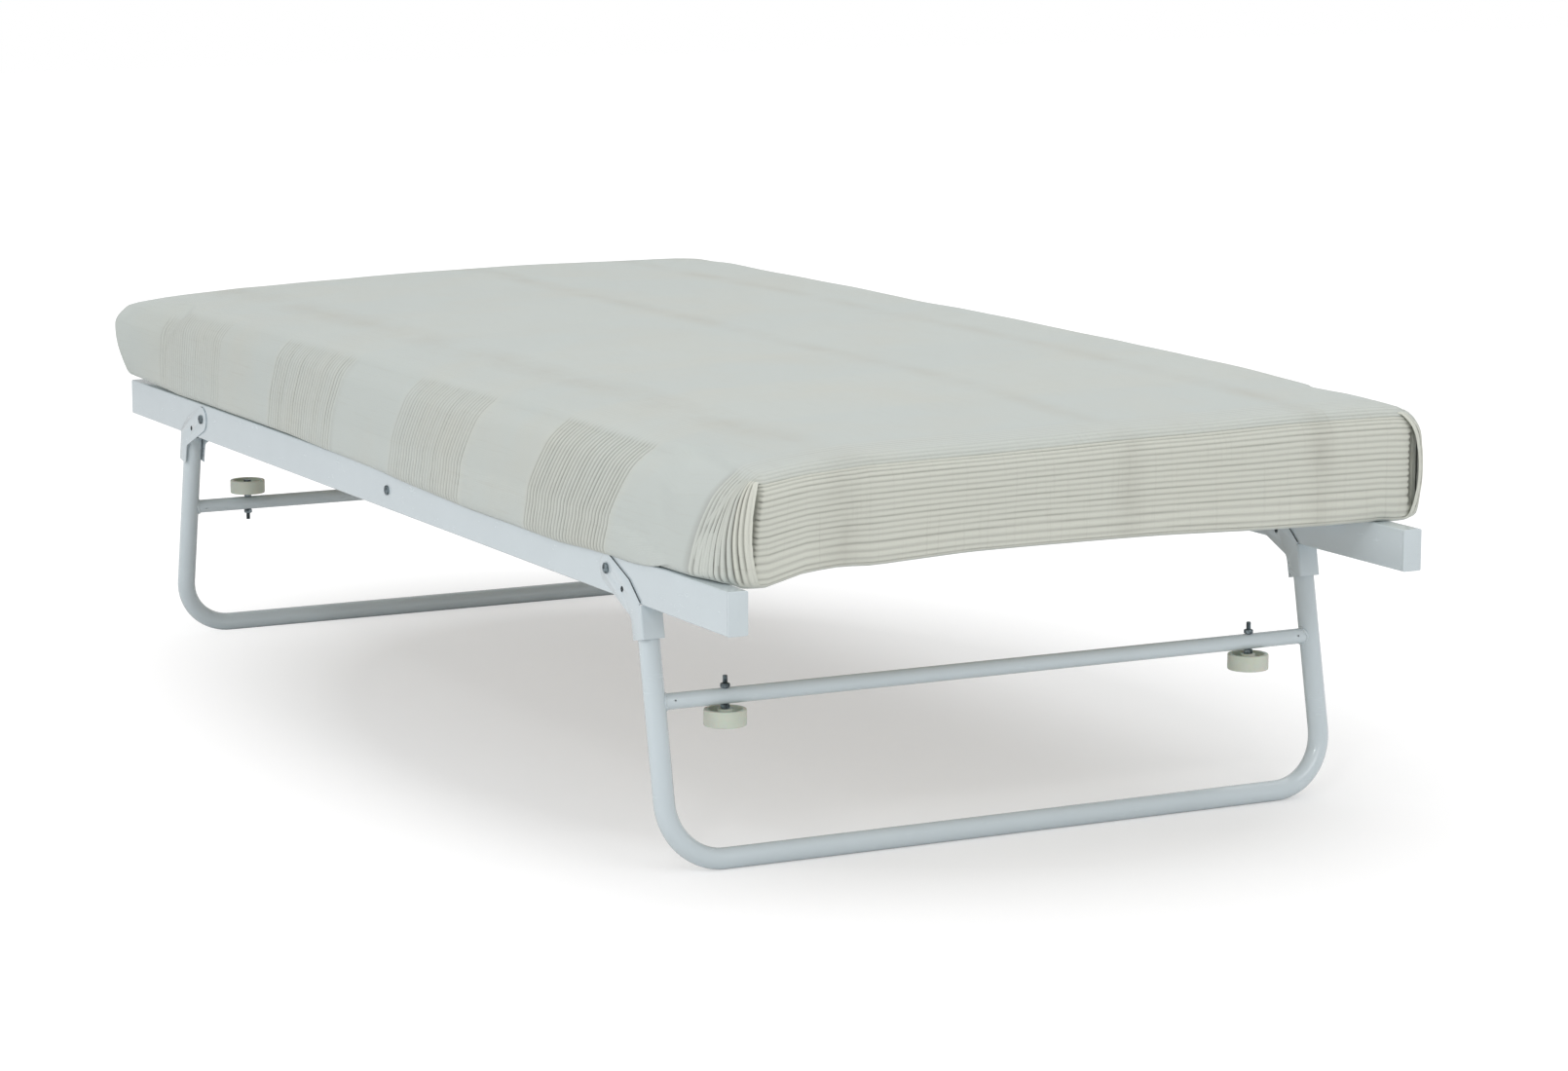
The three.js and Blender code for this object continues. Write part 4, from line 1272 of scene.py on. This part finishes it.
FLAP_CLOTH = 1.3 * MM


def read_curve(curve, place):
    """The height of a curve at a place, both in metres."""
    place /= MM
    if place <= curve[0][0]:
        return curve[0][1] * MM
    for (start, low), (stop, high) in zip(curve, curve[1:]):
        if place <= stop:
            return (low + (high - low) * (place - start) / (stop - start)) * MM
    return curve[-1][1] * MM


def smooth_step(value, low, high):
    """0 below low, 1 above high, and a smooth rise between them."""
    share = min(max((value - low) / (high - low), 0), 1)
    return share * share * (3 - 2 * share)


def window(value, rise, full, fall, end):
    """1 between full and fall, fading to 0 at rise and at end."""
    return smooth_step(value, rise, full) * (1 - smooth_step(value, fall, end))


def spread(low, high, spans, fine, coarse):
    """Places from low to high: close together inside the spans, further apart elsewhere."""
    marks = sorted({low, high, *[min(max(mark, low), high) for span in spans for mark in span]})
    places = [low]
    for start, stop in zip(marks, marks[1:]):
        middle = (start + stop) / 2
        step = fine if any(a <= middle <= b for a, b in spans) else coarse
        count = max(math.ceil((stop - start) / step - 1e-6), 1)
        places += [start + (stop - start) * number / count for number in range(1, count + 1)]
    return places


def round_off(vert, low, high, top_radius, low_radius):
    """Rounds a vertex of a divided box at the corners and the long edges, and gives how far in it was."""
    middle = (low + high) / 2
    half = (high - low) / 2
    side = Vector((math.copysign(1, vert.co.x - middle.x), math.copysign(1, vert.co.y - middle.y)))
    inset = Vector((half.x - abs(vert.co.x - middle.x), half.y - abs(vert.co.y - middle.y)))
    depth = min(inset)
    out = Vector((max(top_radius - inset.x, 0), max(top_radius - inset.y, 0)))
    if out.x and out.y:
        reach = max(out) / out.length
        vert.co.x -= side.x * out.x * (1 - reach)
        vert.co.y -= side.y * out.y * (1 - reach)
        outward = Vector((side.x * out.x, side.y * out.y)).normalized()
    elif inset.x < inset.y:
        outward = Vector((side.x, 0))
    else:
        outward = Vector((0, side.y))
    for radius, up in ((top_radius, high.z - vert.co.z), (low_radius, vert.co.z - low.z)):
        across, rise = radius - depth, radius - up
        if across > 0 and rise > 0:
            share = 1 - radius / math.hypot(across, rise)
            vert.co.x -= outward.x * across * share
            vert.co.y -= outward.y * across * share
            vert.co.z -= math.copysign(rise * share, vert.co.z - middle.z)
    return depth


def soft_block(places, top_radius, low_radius):
    """A box divided at the given places along X, Y and Z and rounded. Each vertex keeps its place along the
    flat cloth and how far in from the edges it lies, and each loop keeps a map of the cloth in metres."""
    shape = bmesh.new()
    bmesh.ops.create_cube(shape, size=1)
    for axis, marks in enumerate(places):
        others = [(axis + 1) % 3, (axis + 2) % 3]
        lines = []
        for edge in shape.edges:
            step = edge.verts[0].co - edge.verts[1].co
            if abs(step[axis]) > 1e-6 and all(abs(step[other]) < 1e-6 for other in others):
                lines.append(edge)
        bmesh.ops.subdivide_edges(shape, edges=lines, cuts=len(marks) - 2, use_grid_fill=True)
    low = Vector([marks[0] for marks in places])
    high = Vector([marks[-1] for marks in places])
    for vert in shape.verts:
        for axis, marks in enumerate(places):
            vert.co[axis] = marks[round((vert.co[axis] + 0.5) * (len(marks) - 1))]
    for name in ("along", "depth", "inset", "pocket", "plain"):
        shape.verts.layers.float.new(name)
    along, depth, inset = (shape.verts.layers.float[name] for name in ("along", "depth", "inset"))
    cloth = shape.loops.layers.uv.new("cloth")
    shape.normal_update()
    for face in shape.faces:
        for loop in face.loops:
            x, y, z = loop.vert.co
            down = high.z - z
            if abs(face.normal.x) > 0.5:
                loop[cloth].uv = (x + math.copysign(down, x), y)
            elif abs(face.normal.y) > 0.5:
                loop[cloth].uv = (x, y + math.copysign(down, y))
            else:
                loop[cloth].uv = (x, y)
    for vert in shape.verts:
        x, y, z = vert.co
        at_end = half_gap(x, low.x, high.x) < 1e-6
        at_side = half_gap(y, low.y, high.y) < 1e-6
        vert[along] = x + (math.copysign(high.z - z, x) if at_end and not at_side else 0)
        vert[inset] = half_gap(y, low.y, high.y) if at_end else 1.0
    for vert in shape.verts:
        vert[depth] = round_off(vert, low, high, top_radius, low_radius)
    return shape


def half_gap(value, low, high):
    """How far a value is from the nearer end of its range."""
    return min(value - low, high - value)


def fill_with_air(piece, cage_shape, limit):
    """Swells a soft shell: a coarse cage of the same shape is run as cloth under pressure, the shell follows
    it, and no point moves further than the limit."""
    mesh = mesh_from(cage_shape, "cage")
    cage = put_in_scene("cage", mesh)
    scene = bpy.context.scene
    base = min(vert.co.z for vert in mesh.vertices)
    pins = cage.vertex_groups.new(name="pins")
    pins.add([vert.index for vert in mesh.vertices if vert.co.z < base + 2 * MM], 1.0, "REPLACE")
    swell = cage.modifiers.new("swell", "CLOTH")
    for key, value in CLOTH.items():
        setattr(swell.settings, key, value)
    swell.settings.effector_weights.gravity = 0
    swell.point_cache.frame_end = CLOTH_FRAMES
    follow = piece.modifiers.new("follow", "SURFACE_DEFORM")
    follow.target = cage
    scene.frame_set(1)
    with bpy.context.temp_override(object=piece, active_object=piece):
        bpy.ops.object.surfacedeform_bind(modifier=follow.name)
    if not follow.is_bound:
        raise RuntimeError("the mattress's shell could not be bound to its cage")
    for number in range(1, CLOTH_FRAMES + 1):
        scene.frame_set(number)
    followed = piece.evaluated_get(bpy.context.evaluated_depsgraph_get())
    after = [vert.co.copy() for vert in followed.to_mesh().vertices]
    followed.to_mesh_clear()
    piece.modifiers.clear()
    low = min(vert.co.z for vert in piece.data.vertices)
    high = max(vert.co.z for vert in piece.data.vertices)
    for vert, new in zip(piece.data.vertices, after):
        step = new - vert.co
        step.xy *= PLAN_GIVE
        step.z *= smooth_step(vert.co.z, low, (low + high) / 2)
        vert.co += step * min(1, limit / max(step.length, 1e-9))
    scene.frame_set(1)
    bpy.data.objects.remove(cage)
    bpy.data.meshes.remove(mesh)


def rest_height(x, y, near, rail_high):
    """The height that the underside rests at: over the slats, on the rails, and hanging outside them."""
    rail_top = rail_high.z + 0.45 * MM
    share = min(abs(y) / 0.43, 1)
    height = rail_top + 5.4 * MM * (1 - share * share) ** 2
    lift = read_curve(HEAD_LIFT, x) + read_curve(FOOT_LIFT, y) * smooth_step(x, 0.865, 0.935)
    hang = read_curve(SIDE_HANG, x) if near else 2 * MM
    outside = smooth_step(abs(y), rail_high.y + 0.3 * MM, rail_high.y + 2.6 * MM)
    return height + lift - hang * outside


def laid_askew(spot, settings):
    """Where a point of the square mattress comes to lie in plan."""
    place = Matrix.Rotation(settings.turn, 3, "Z") @ spot + Vector((*settings.offset, 0))
    place.x -= place.y * math.tan(settings.shear) * smooth_step(place.x, *FOOT_BLEND)
    return place


def height_share(vert, settings, base):
    """How far up the side a vertex is, from 0 to 1."""
    return min(max((vert.co.z - base) / settings.edge_height, 0), 1)


def settle(shape, settings, base):
    """Lays the filled shell on the frame: askew, leaning out over the near rail, its top rising to the far
    side, and waving slowly as worn foam does."""
    half_width = settings.width / 2
    rail_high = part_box("side_rail_left")[1]
    for vert in shape.verts:
        share_y = vert.co.y / half_width
        height = height_share(vert, settings, base)
        x, y, z = laid_askew(vert.co, settings)
        near = smooth_step(-share_y, *NEAR_BLEND)
        y -= near * read_curve(SIDE_LEAN, x) * (1 - 2 * height ** 1.8)
        y -= near * read_curve(SIDE_SKIRT, x) * (1 - height ** 2)
        bulge = (10 + 16 * math.sin(math.pi * height / 1.4)) * MM
        y -= near * bulge * smooth_step(-x, *HEAD_BLEND)
        droop = 0.35 + 0.65 * smooth_step(share_y, -1, -0.1) if x > 0 else 1
        rise = read_curve(TOP_ACROSS, share_y * MM) + droop * read_curve(TOP_ALONG, x)
        wave = 2.0 * noise.noise(Vector((x * 3.1, y * 4.3, 0.7)))
        wave += 0.8 * noise.noise(Vector((x * 10, y * 8, 3.7)))
        side_wave = 1.6 * MM * noise.noise(Vector((x * 7, z * 14, 9.1)))
        side_wave *= smooth_step(abs(share_y), 0.9, 0.98)
        y += FAR_FOOT_SPREAD * smooth_step(x, 0.7, 0.96) * smooth_step(share_y, 0.5, 0.95)
        z += height * (rise + wave * MM)
        z += (1 - height) * (rest_height(x, y, y < 0, rail_high) - base)
        vert.co = (x, y + side_wave, z)


def open_corners(shape, settings, base):
    """Draws the end faces in beside the corners: a pocket behind each flap's free edge, noted for painted
    shade.
    """
    inset, pocket, plain = (shape.verts.layers.float[name] for name in ("inset", "pocket", "plain"))
    for vert in shape.verts:
        height = height_share(vert, settings, base)
        behind = settings.length / 2 - abs(vert.co.x - settings.offset[0])
        under_flap = 1 - smooth_step(behind, 44 * MM, 52 * MM)
        under_flap *= 1 - smooth_step(vert[inset], 8 * MM, 14 * MM)
        vert[plain] = under_flap * window(height, 0.04, 0.12, 0.84, 0.93)
        vert.co -= vert.normal * FLAP_SEAT * vert[plain]
        deep = window(height, 0.04, 0.25, 0.66, 0.9) * window(vert[inset], 5 * MM, 13 * MM, 18 * MM, 25 * MM)
        deep *= HEAD_POCKET if vert.co.x < 0 else 1.0
        vert[pocket] = deep
        vert.co.x -= math.copysign(POCKET_DEPTH * deep, vert.co.x)


def rib_wave(along, half_length):
    """How bold the ribs are at a place along the cloth, and how high it stands: 0 in a groove, 1 on a rib."""
    strength = 0.0
    for start, stop, share in RIB_BANDS:
        start, stop = start * MM, stop * MM
        inside = window(along, start - BAND_BLUR, start + BAND_BLUR, stop - BAND_BLUR, stop + BAND_BLUR)
        strength = max(strength, share * inside)
    over = along - half_length
    turns = over / (RIB_PITCH if over < 0 else END_RIB_PITCH)
    if strength < 0.99:
        strength *= 0.55 + 0.9 * abs(noise.noise(Vector((math.floor(turns) * 0.77, 4.1, 2.3))))
    return strength, abs(math.sin(math.pi * turns)) ** 0.8


def rib_fade(along, depth, half_length):
    """How much of the ribs' relief is left on the top: it fades in from the sides, less near the foot end."""
    slack = 1 - 0.93 * smooth_step(depth, 0, 22 * MM)
    behind = half_length - along
    if behind < 110 * MM:
        near_end = 1 - 0.6 * smooth_step(behind, 0, 40 * MM) - 0.4 * smooth_step(behind, 30 * MM, 110 * MM)
        slack = max(slack, near_end)
    return slack


def carve_ribs(shape, settings):
    """Raises the ribs along the normals, and notes painted shade in grooves and the ribs' yarn and highlight.
    """
    layers = shape.verts.layers.float
    along, depth, pocket, plain = (layers[name] for name in ("along", "depth", "pocket", "plain"))
    groove, yarn = layers.new("groove"), layers.new("yarn")
    shape.normal_update()
    half_length = settings.length / 2
    steps = []
    for vert in shape.verts:
        wiggle = RIB_WIGGLE * noise.noise(Vector((vert.co.y * 9, vert.co.z * 22, vert.co.x * 2)))
        strength, wave = rib_wave(vert[along] + wiggle, half_length)
        fade = rib_fade(vert[along], vert[depth], half_length)
        amount = strength * fade * (1 - smooth_step(-vert.normal.z, 0.5, 0.9)) * (1 - vert[plain])
        if abs(vert.normal.y) < 0.5:
            amount *= 1 - 0.5 * smooth_step(vert[along] - half_length, -50 * MM, -5 * MM)
        shade = 0.55 if vert[along] > half_length - 60 * MM and vert[depth] > 0 else 1.0
        amount *= 1 - vert[pocket]
        # painted shade: darker in the grooves between ribs and in the pockets behind the flaps
        vert[groove] = max(shade * amount * (1 - wave) ** 1.6, 0.6 * vert[pocket] ** 2)
        # the ribs' lighter yarn and a painted highlight, stronger on the foot end's face, which the lamps
        # light less
        vert[yarn] = min(strength, 0.9) * (0.25 + 0.65 * fade) * (0.4 if vert[along] < half_length else 1.0)
        steps.append(vert.normal * settings.rib_height * amount * (wave - GROOVE_BIAS))
    for vert, step in zip(shape.verts, steps):
        vert.co += step


def flap_grid(shape, tree, settings, end, side):
    """The points of a corner flap, row by row down the corner, found by rays out from the corner's axis."""
    half = Vector((settings.length / 2, settings.width / 2, 0)) - Vector((1, 1, 0)) * settings.edge_radius
    centre = laid_askew(Vector((end * half.x, side * half.y, 0)), settings)
    turn = Matrix.Rotation(settings.turn, 3, "Z")
    out_side, out_end = turn @ Vector((0, side, 0)), turn @ Vector((end, 0, 0))
    middle = Vector((centre.x, centre.y, 0.42))
    roof, foot = (tree.ray_cast(middle, Vector((0, 0, way)), 0.3)[0] for way in (1, -1))
    if roof is None or foot is None:
        raise RuntimeError("a corner of the mattress was not found")
    low_z, high_z = foot.z + 4 * MM, roof.z - 7 * MM
    stands_off = 2.5 if end < 0 else (11 if side > 0 else 7.5)
    grid = []
    for row in range(FLAP_ROWS + 1):
        share_down = row / FLAP_ROWS
        start = Vector((centre.x, centre.y, high_z + (low_z - high_z) * share_down))
        stand = max(math.sin(math.pi * share_down), 0) ** 0.55
        travel = FLAP_ROOT + FLAP_TIP - 18 * stand - 4 * share_down
        line = []
        for column in range(FLAP_COLUMNS + 1):
            share = column / FLAP_COLUMNS
            swing = math.radians(share * travel - FLAP_ROOT)
            ray = out_side * math.cos(swing) + out_end * math.sin(swing)
            hit, normal, _, _ = tree.ray_cast(start, ray, 0.2)
            if hit is None:
                raise RuntimeError("a corner of the mattress was missed")
            lift = 0.9 * (smooth_step(share, 0, 0.1) + smooth_step(share, 0.1, 0.5) - 1)
            lift += stands_off * stand * smooth_step(share, 0.4, 1.0)
            line.append(shape.verts.new(hit + normal * lift * MM))
        grid.append(line)
    return grid, Vector((centre.x, centre.y, high_z))


def add_corner_flap(shape, tree, settings, end, side):
    """Where the cover's side is folded round a corner, its free edge stands off the end face: a thin curved
    strip that grows out of the side, goes round the corner and tucks in above and below."""
    grid, corner = flap_grid(shape, tree, settings, end, side)
    along = shape.verts.layers.float["along"]
    plain = shape.verts.layers.float["plain"]
    cloth = shape.loops.layers.uv["cloth"]
    middle_row = grid[FLAP_ROWS // 2]
    travel = [settings.length / 2 - settings.edge_radius * (1 + math.tan(math.radians(FLAP_ROOT)))]
    for first, second in zip(middle_row, middle_row[1:]):
        travel.append(travel[-1] + (second.co - first.co).xy.length)
    for line in grid:
        for column, vert in enumerate(line):
            vert[along] = end * travel[column]
            vert[plain] = smooth_step(column / FLAP_COLUMNS, 0.9, 0.98)
    top = settings.width / 2 + corner.z
    made = []
    for upper, lower in zip(grid, grid[1:]):
        for column in range(FLAP_COLUMNS):
            face = shape.faces.new([upper[column], upper[column + 1], lower[column + 1], lower[column]])
            made.append(face)
            for loop in face.loops:
                loop[cloth].uv = (loop.vert[along], side * (top - loop.vert.co.z))
    bmesh.ops.recalc_face_normals(shape, faces=made)
    middle = middle_row[FLAP_COLUMNS // 2]
    middle.normal_update()
    if middle.normal.xy.dot(middle.co.xy - corner.xy) < 0:
        bmesh.ops.reverse_faces(shape, faces=made)
    bmesh.ops.solidify(shape, geom=made, thickness=FLAP_CLOTH)


class COT_OT_mattress(bpy.types.Operator):
    """Build the mattress in its ribbed cover"""

    bl_idname = "cot.mattress"
    bl_label = "Mattress"

    def execute(self, context):
        settings = context.scene.cot_mattress
        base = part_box("mattress_cover")[0].z
        half = Vector((settings.length / 2, settings.width / 2))
        top = base + settings.edge_height
        bands = [(start * MM, min(stop * MM, half.x)) for start, stop, _ in RIB_BANDS]
        along = spread(-half.x, half.x, bands, 1.8 * MM, 13 * MM)
        edge = settings.edge_radius
        rims = [(-half.y, 44 * MM - half.y), (half.y - 44 * MM, half.y)]
        across = spread(-half.y, half.y, rims, 2.6 * MM, 20 * MM)
        up = spread(base, top, EVERYWHERE, 1, 1.5 * MM)
        shape = soft_block((along, across, up), edge, settings.low_radius)
        nodes = ["mattress_cover", "mattress_core"]
        piece = add_piece("mattress", shape, "woven_cotton", "frame", nodes, sharp=180)
        piece.parent = None
        sides = ((-half.x, half.x, 26 * MM), (-half.y, half.y, 24 * MM), (base, top, 15 * MM))
        cage = [spread(low, high, EVERYWHERE, 1, step) for low, high, step in sides]
        fill_with_air(piece, soft_block(cage, edge, settings.low_radius), settings.swell)
        shape = bmesh.new()
        shape.from_mesh(piece.data)
        settle(shape, settings, base)
        shape.normal_update()
        tree = BVHTree.FromBMesh(shape)
        open_corners(shape, settings, base)
        for end in ENDS.values():
            for side in SIDES.values():
                add_corner_flap(shape, tree, settings, end, side)
        carve_ribs(shape, settings)
        shape.to_mesh(piece.data)
        shape.free()
        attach(piece, "frame")
        return {"FINISHED"}


# ------------------------------------------------------------------ stage


# Each lamp's name, place, the point it faces, and its size.
LAMPS = (
    ("key", (-0.4, 1.6, 4.4), (0, 0, 0.3), 3.2),
    ("side_fill", (0.6, -5.0, 2.3), (0.1, 0, 0.3), 3.0),
    ("end_fill", (4.8, 0.6, 3.0), (0.6, 0, 0.2), 2.4),
    ("strip", (4.4, -3.4, 4.2), (0.7, 0, 0.2), 0.7),
)
CAMERA_PLACE = (5.1056, -2.5096, 1.1951)
CAMERA_TILT = -0.16736
CAMERA_TURN = 1.0948
REFLECTED_SKY = 0.6


class COT_OT_stage(bpy.types.Operator):
    """Build the floor, the lights and the camera"""

    bl_idname = "cot.stage"
    bl_label = "Stage"

    def execute(self, context):
        settings = context.scene.cot_studio
        self.floor(settings)
        self.sky(settings)
        powers = (settings.key_power, settings.side_power, settings.end_power, settings.strip_power)
        for power, (name, place, target, size) in zip(powers, LAMPS):
            self.lamp(name, power, place, target, size)
        self.camera(settings)
        return {"FINISHED"}

    def floor(self, settings):
        """A wide seamless floor that keeps the shadow, and is white to the camera away from it."""
        material, wiring, shader = new_material("seamless_floor", Roughness=0.9, Specular_IOR_Level=0.1)
        place = object_coordinates(wiring)
        grain = wiring.noise(place, 30.0, 3.0)
        grained = wiring.mix(grain, shade(settings.floor, 0.985), shade(settings.floor))
        wiring.set(shader.inputs["Base Color"], grained)
        sizes = {"Vector": place, "Scale": (0.72, 1.15, 1.0), "Location": (-0.11, -0.06, 0)}
        oval = wiring.add("ShaderNodeMapping", sizes).outputs[0]
        reach = wiring.add("ShaderNodeVectorMath", {0: oval}, operation="LENGTH").outputs["Value"]
        white_at = wiring.range(reach, 0.6, 1.1, settings.floor_white, 1.0)
        rays = wiring.add("ShaderNodeLightPath").outputs
        share = wiring.times(white_at, rays["Is Camera Ray"])
        white = wiring.add("ShaderNodeEmission", {"Color": (1, 1, 1, 1), "Strength": settings.floor_glow})
        both = wiring.add("ShaderNodeMixShader", {0: share, 1: shader.outputs[0], 2: white.outputs[0]})
        wiring.set(material.node_tree.nodes["Material Output"].inputs["Surface"], both.outputs[0])
        shape = bmesh.new()
        bmesh.ops.create_grid(shape, x_segments=8, y_segments=8, size=14)
        floor = put_in_scene("floor", mesh_from(shape, "floor"))
        floor.data.materials.append(material)

    def sky(self, settings):
        """Even light, and white to the camera and in reflections."""
        world = bpy.data.worlds.new("studio")
        bpy.context.scene.world = world
        world.use_nodes = True
        wiring = Wiring(world.node_tree)
        background = world.node_tree.nodes["Background"]
        rays = wiring.add("ShaderNodeLightPath").outputs
        plain = wiring.range(rays["Is Glossy Ray"], 0.0, 1.0, settings.world_strength, REFLECTED_SKY)
        strength = wiring.range(rays["Is Camera Ray"], 0.0, 1.0, plain, 1.0)
        wiring.set(background.inputs["Strength"], strength)
        background.inputs["Color"].default_value = (1, 1, 1, 1)

    def lamp(self, name, power, place, target, size):
        """A soft square lamp."""
        data = bpy.data.lights.new(name, "AREA")
        data.energy = power
        data.shape = "SQUARE"
        data.size = size
        lamp = put_in_scene(name, data)
        lamp.location = place
        lamp.rotation_euler = (Vector(target) - Vector(place)).to_track_quat("-Z", "Y").to_euler()

    def camera(self, settings):
        """A long lens, low at the foot end."""
        data = bpy.data.cameras.new("camera")
        data.lens = settings.lens
        data.sensor_width = 36
        data.clip_end = 100
        camera = put_in_scene("camera", data)
        camera.location = CAMERA_PLACE
        camera.rotation_euler = (math.pi / 2 + CAMERA_TILT, 0, CAMERA_TURN)
        bpy.context.scene.camera = camera


class COT_PT_panel(bpy.types.Panel):
    """The steps that build the cot"""

    bl_idname = "COT_PT_panel"
    bl_label = "Folding cot"
    bl_space_type = "VIEW_3D"
    bl_region_type = "UI"
    bl_category = "Cot"

    def draw(self, context):
        for operator in OPERATORS:
            self.layout.operator(operator.bl_idname)
        for group in (getattr(context.scene, name) for name in SETTINGS):
            box = self.layout.box()
            for name in group.bl_rna.properties.keys():
                if name not in ("rna_type", "name"):
                    box.prop(group, name)


OPERATORS = (
    COT_OT_stage,
    COT_OT_rails,
    COT_OT_ties,
    COT_OT_slats,
    COT_OT_leg_frames,
    COT_OT_fasteners,
    COT_OT_wheels,
    COT_OT_mattress,
)
SETTINGS = {
    "cot_frame": CotFrameSettings,
    "cot_mattress": CotMattressSettings,
    "cot_studio": CotStudioSettings,
}


def register():
    """Makes the settings, the operators and the panel known."""
    for name, group in SETTINGS.items():
        bpy.utils.register_class(group)
        setattr(bpy.types.Scene, name, bpy.props.PointerProperty(type=group))
    for kind in (*OPERATORS, COT_PT_panel):
        bpy.utils.register_class(kind)


def unregister():
    """Takes them away again."""
    for kind in (COT_PT_panel, *reversed(OPERATORS)):
        bpy.utils.unregister_class(kind)
    for name, group in SETTINGS.items():
        delattr(bpy.types.Scene, name)
        bpy.utils.unregister_class(group)


def main():
    """Builds everything."""
    register()
    bpy.context.scene.view_settings.view_transform = "Standard"
    for operator in OPERATORS:
        area, name = operator.bl_idname.split(".")
        getattr(getattr(bpy.ops, area), name)()
    bpy.context.view_layer.update()


if __name__ == "__main__":
    main()
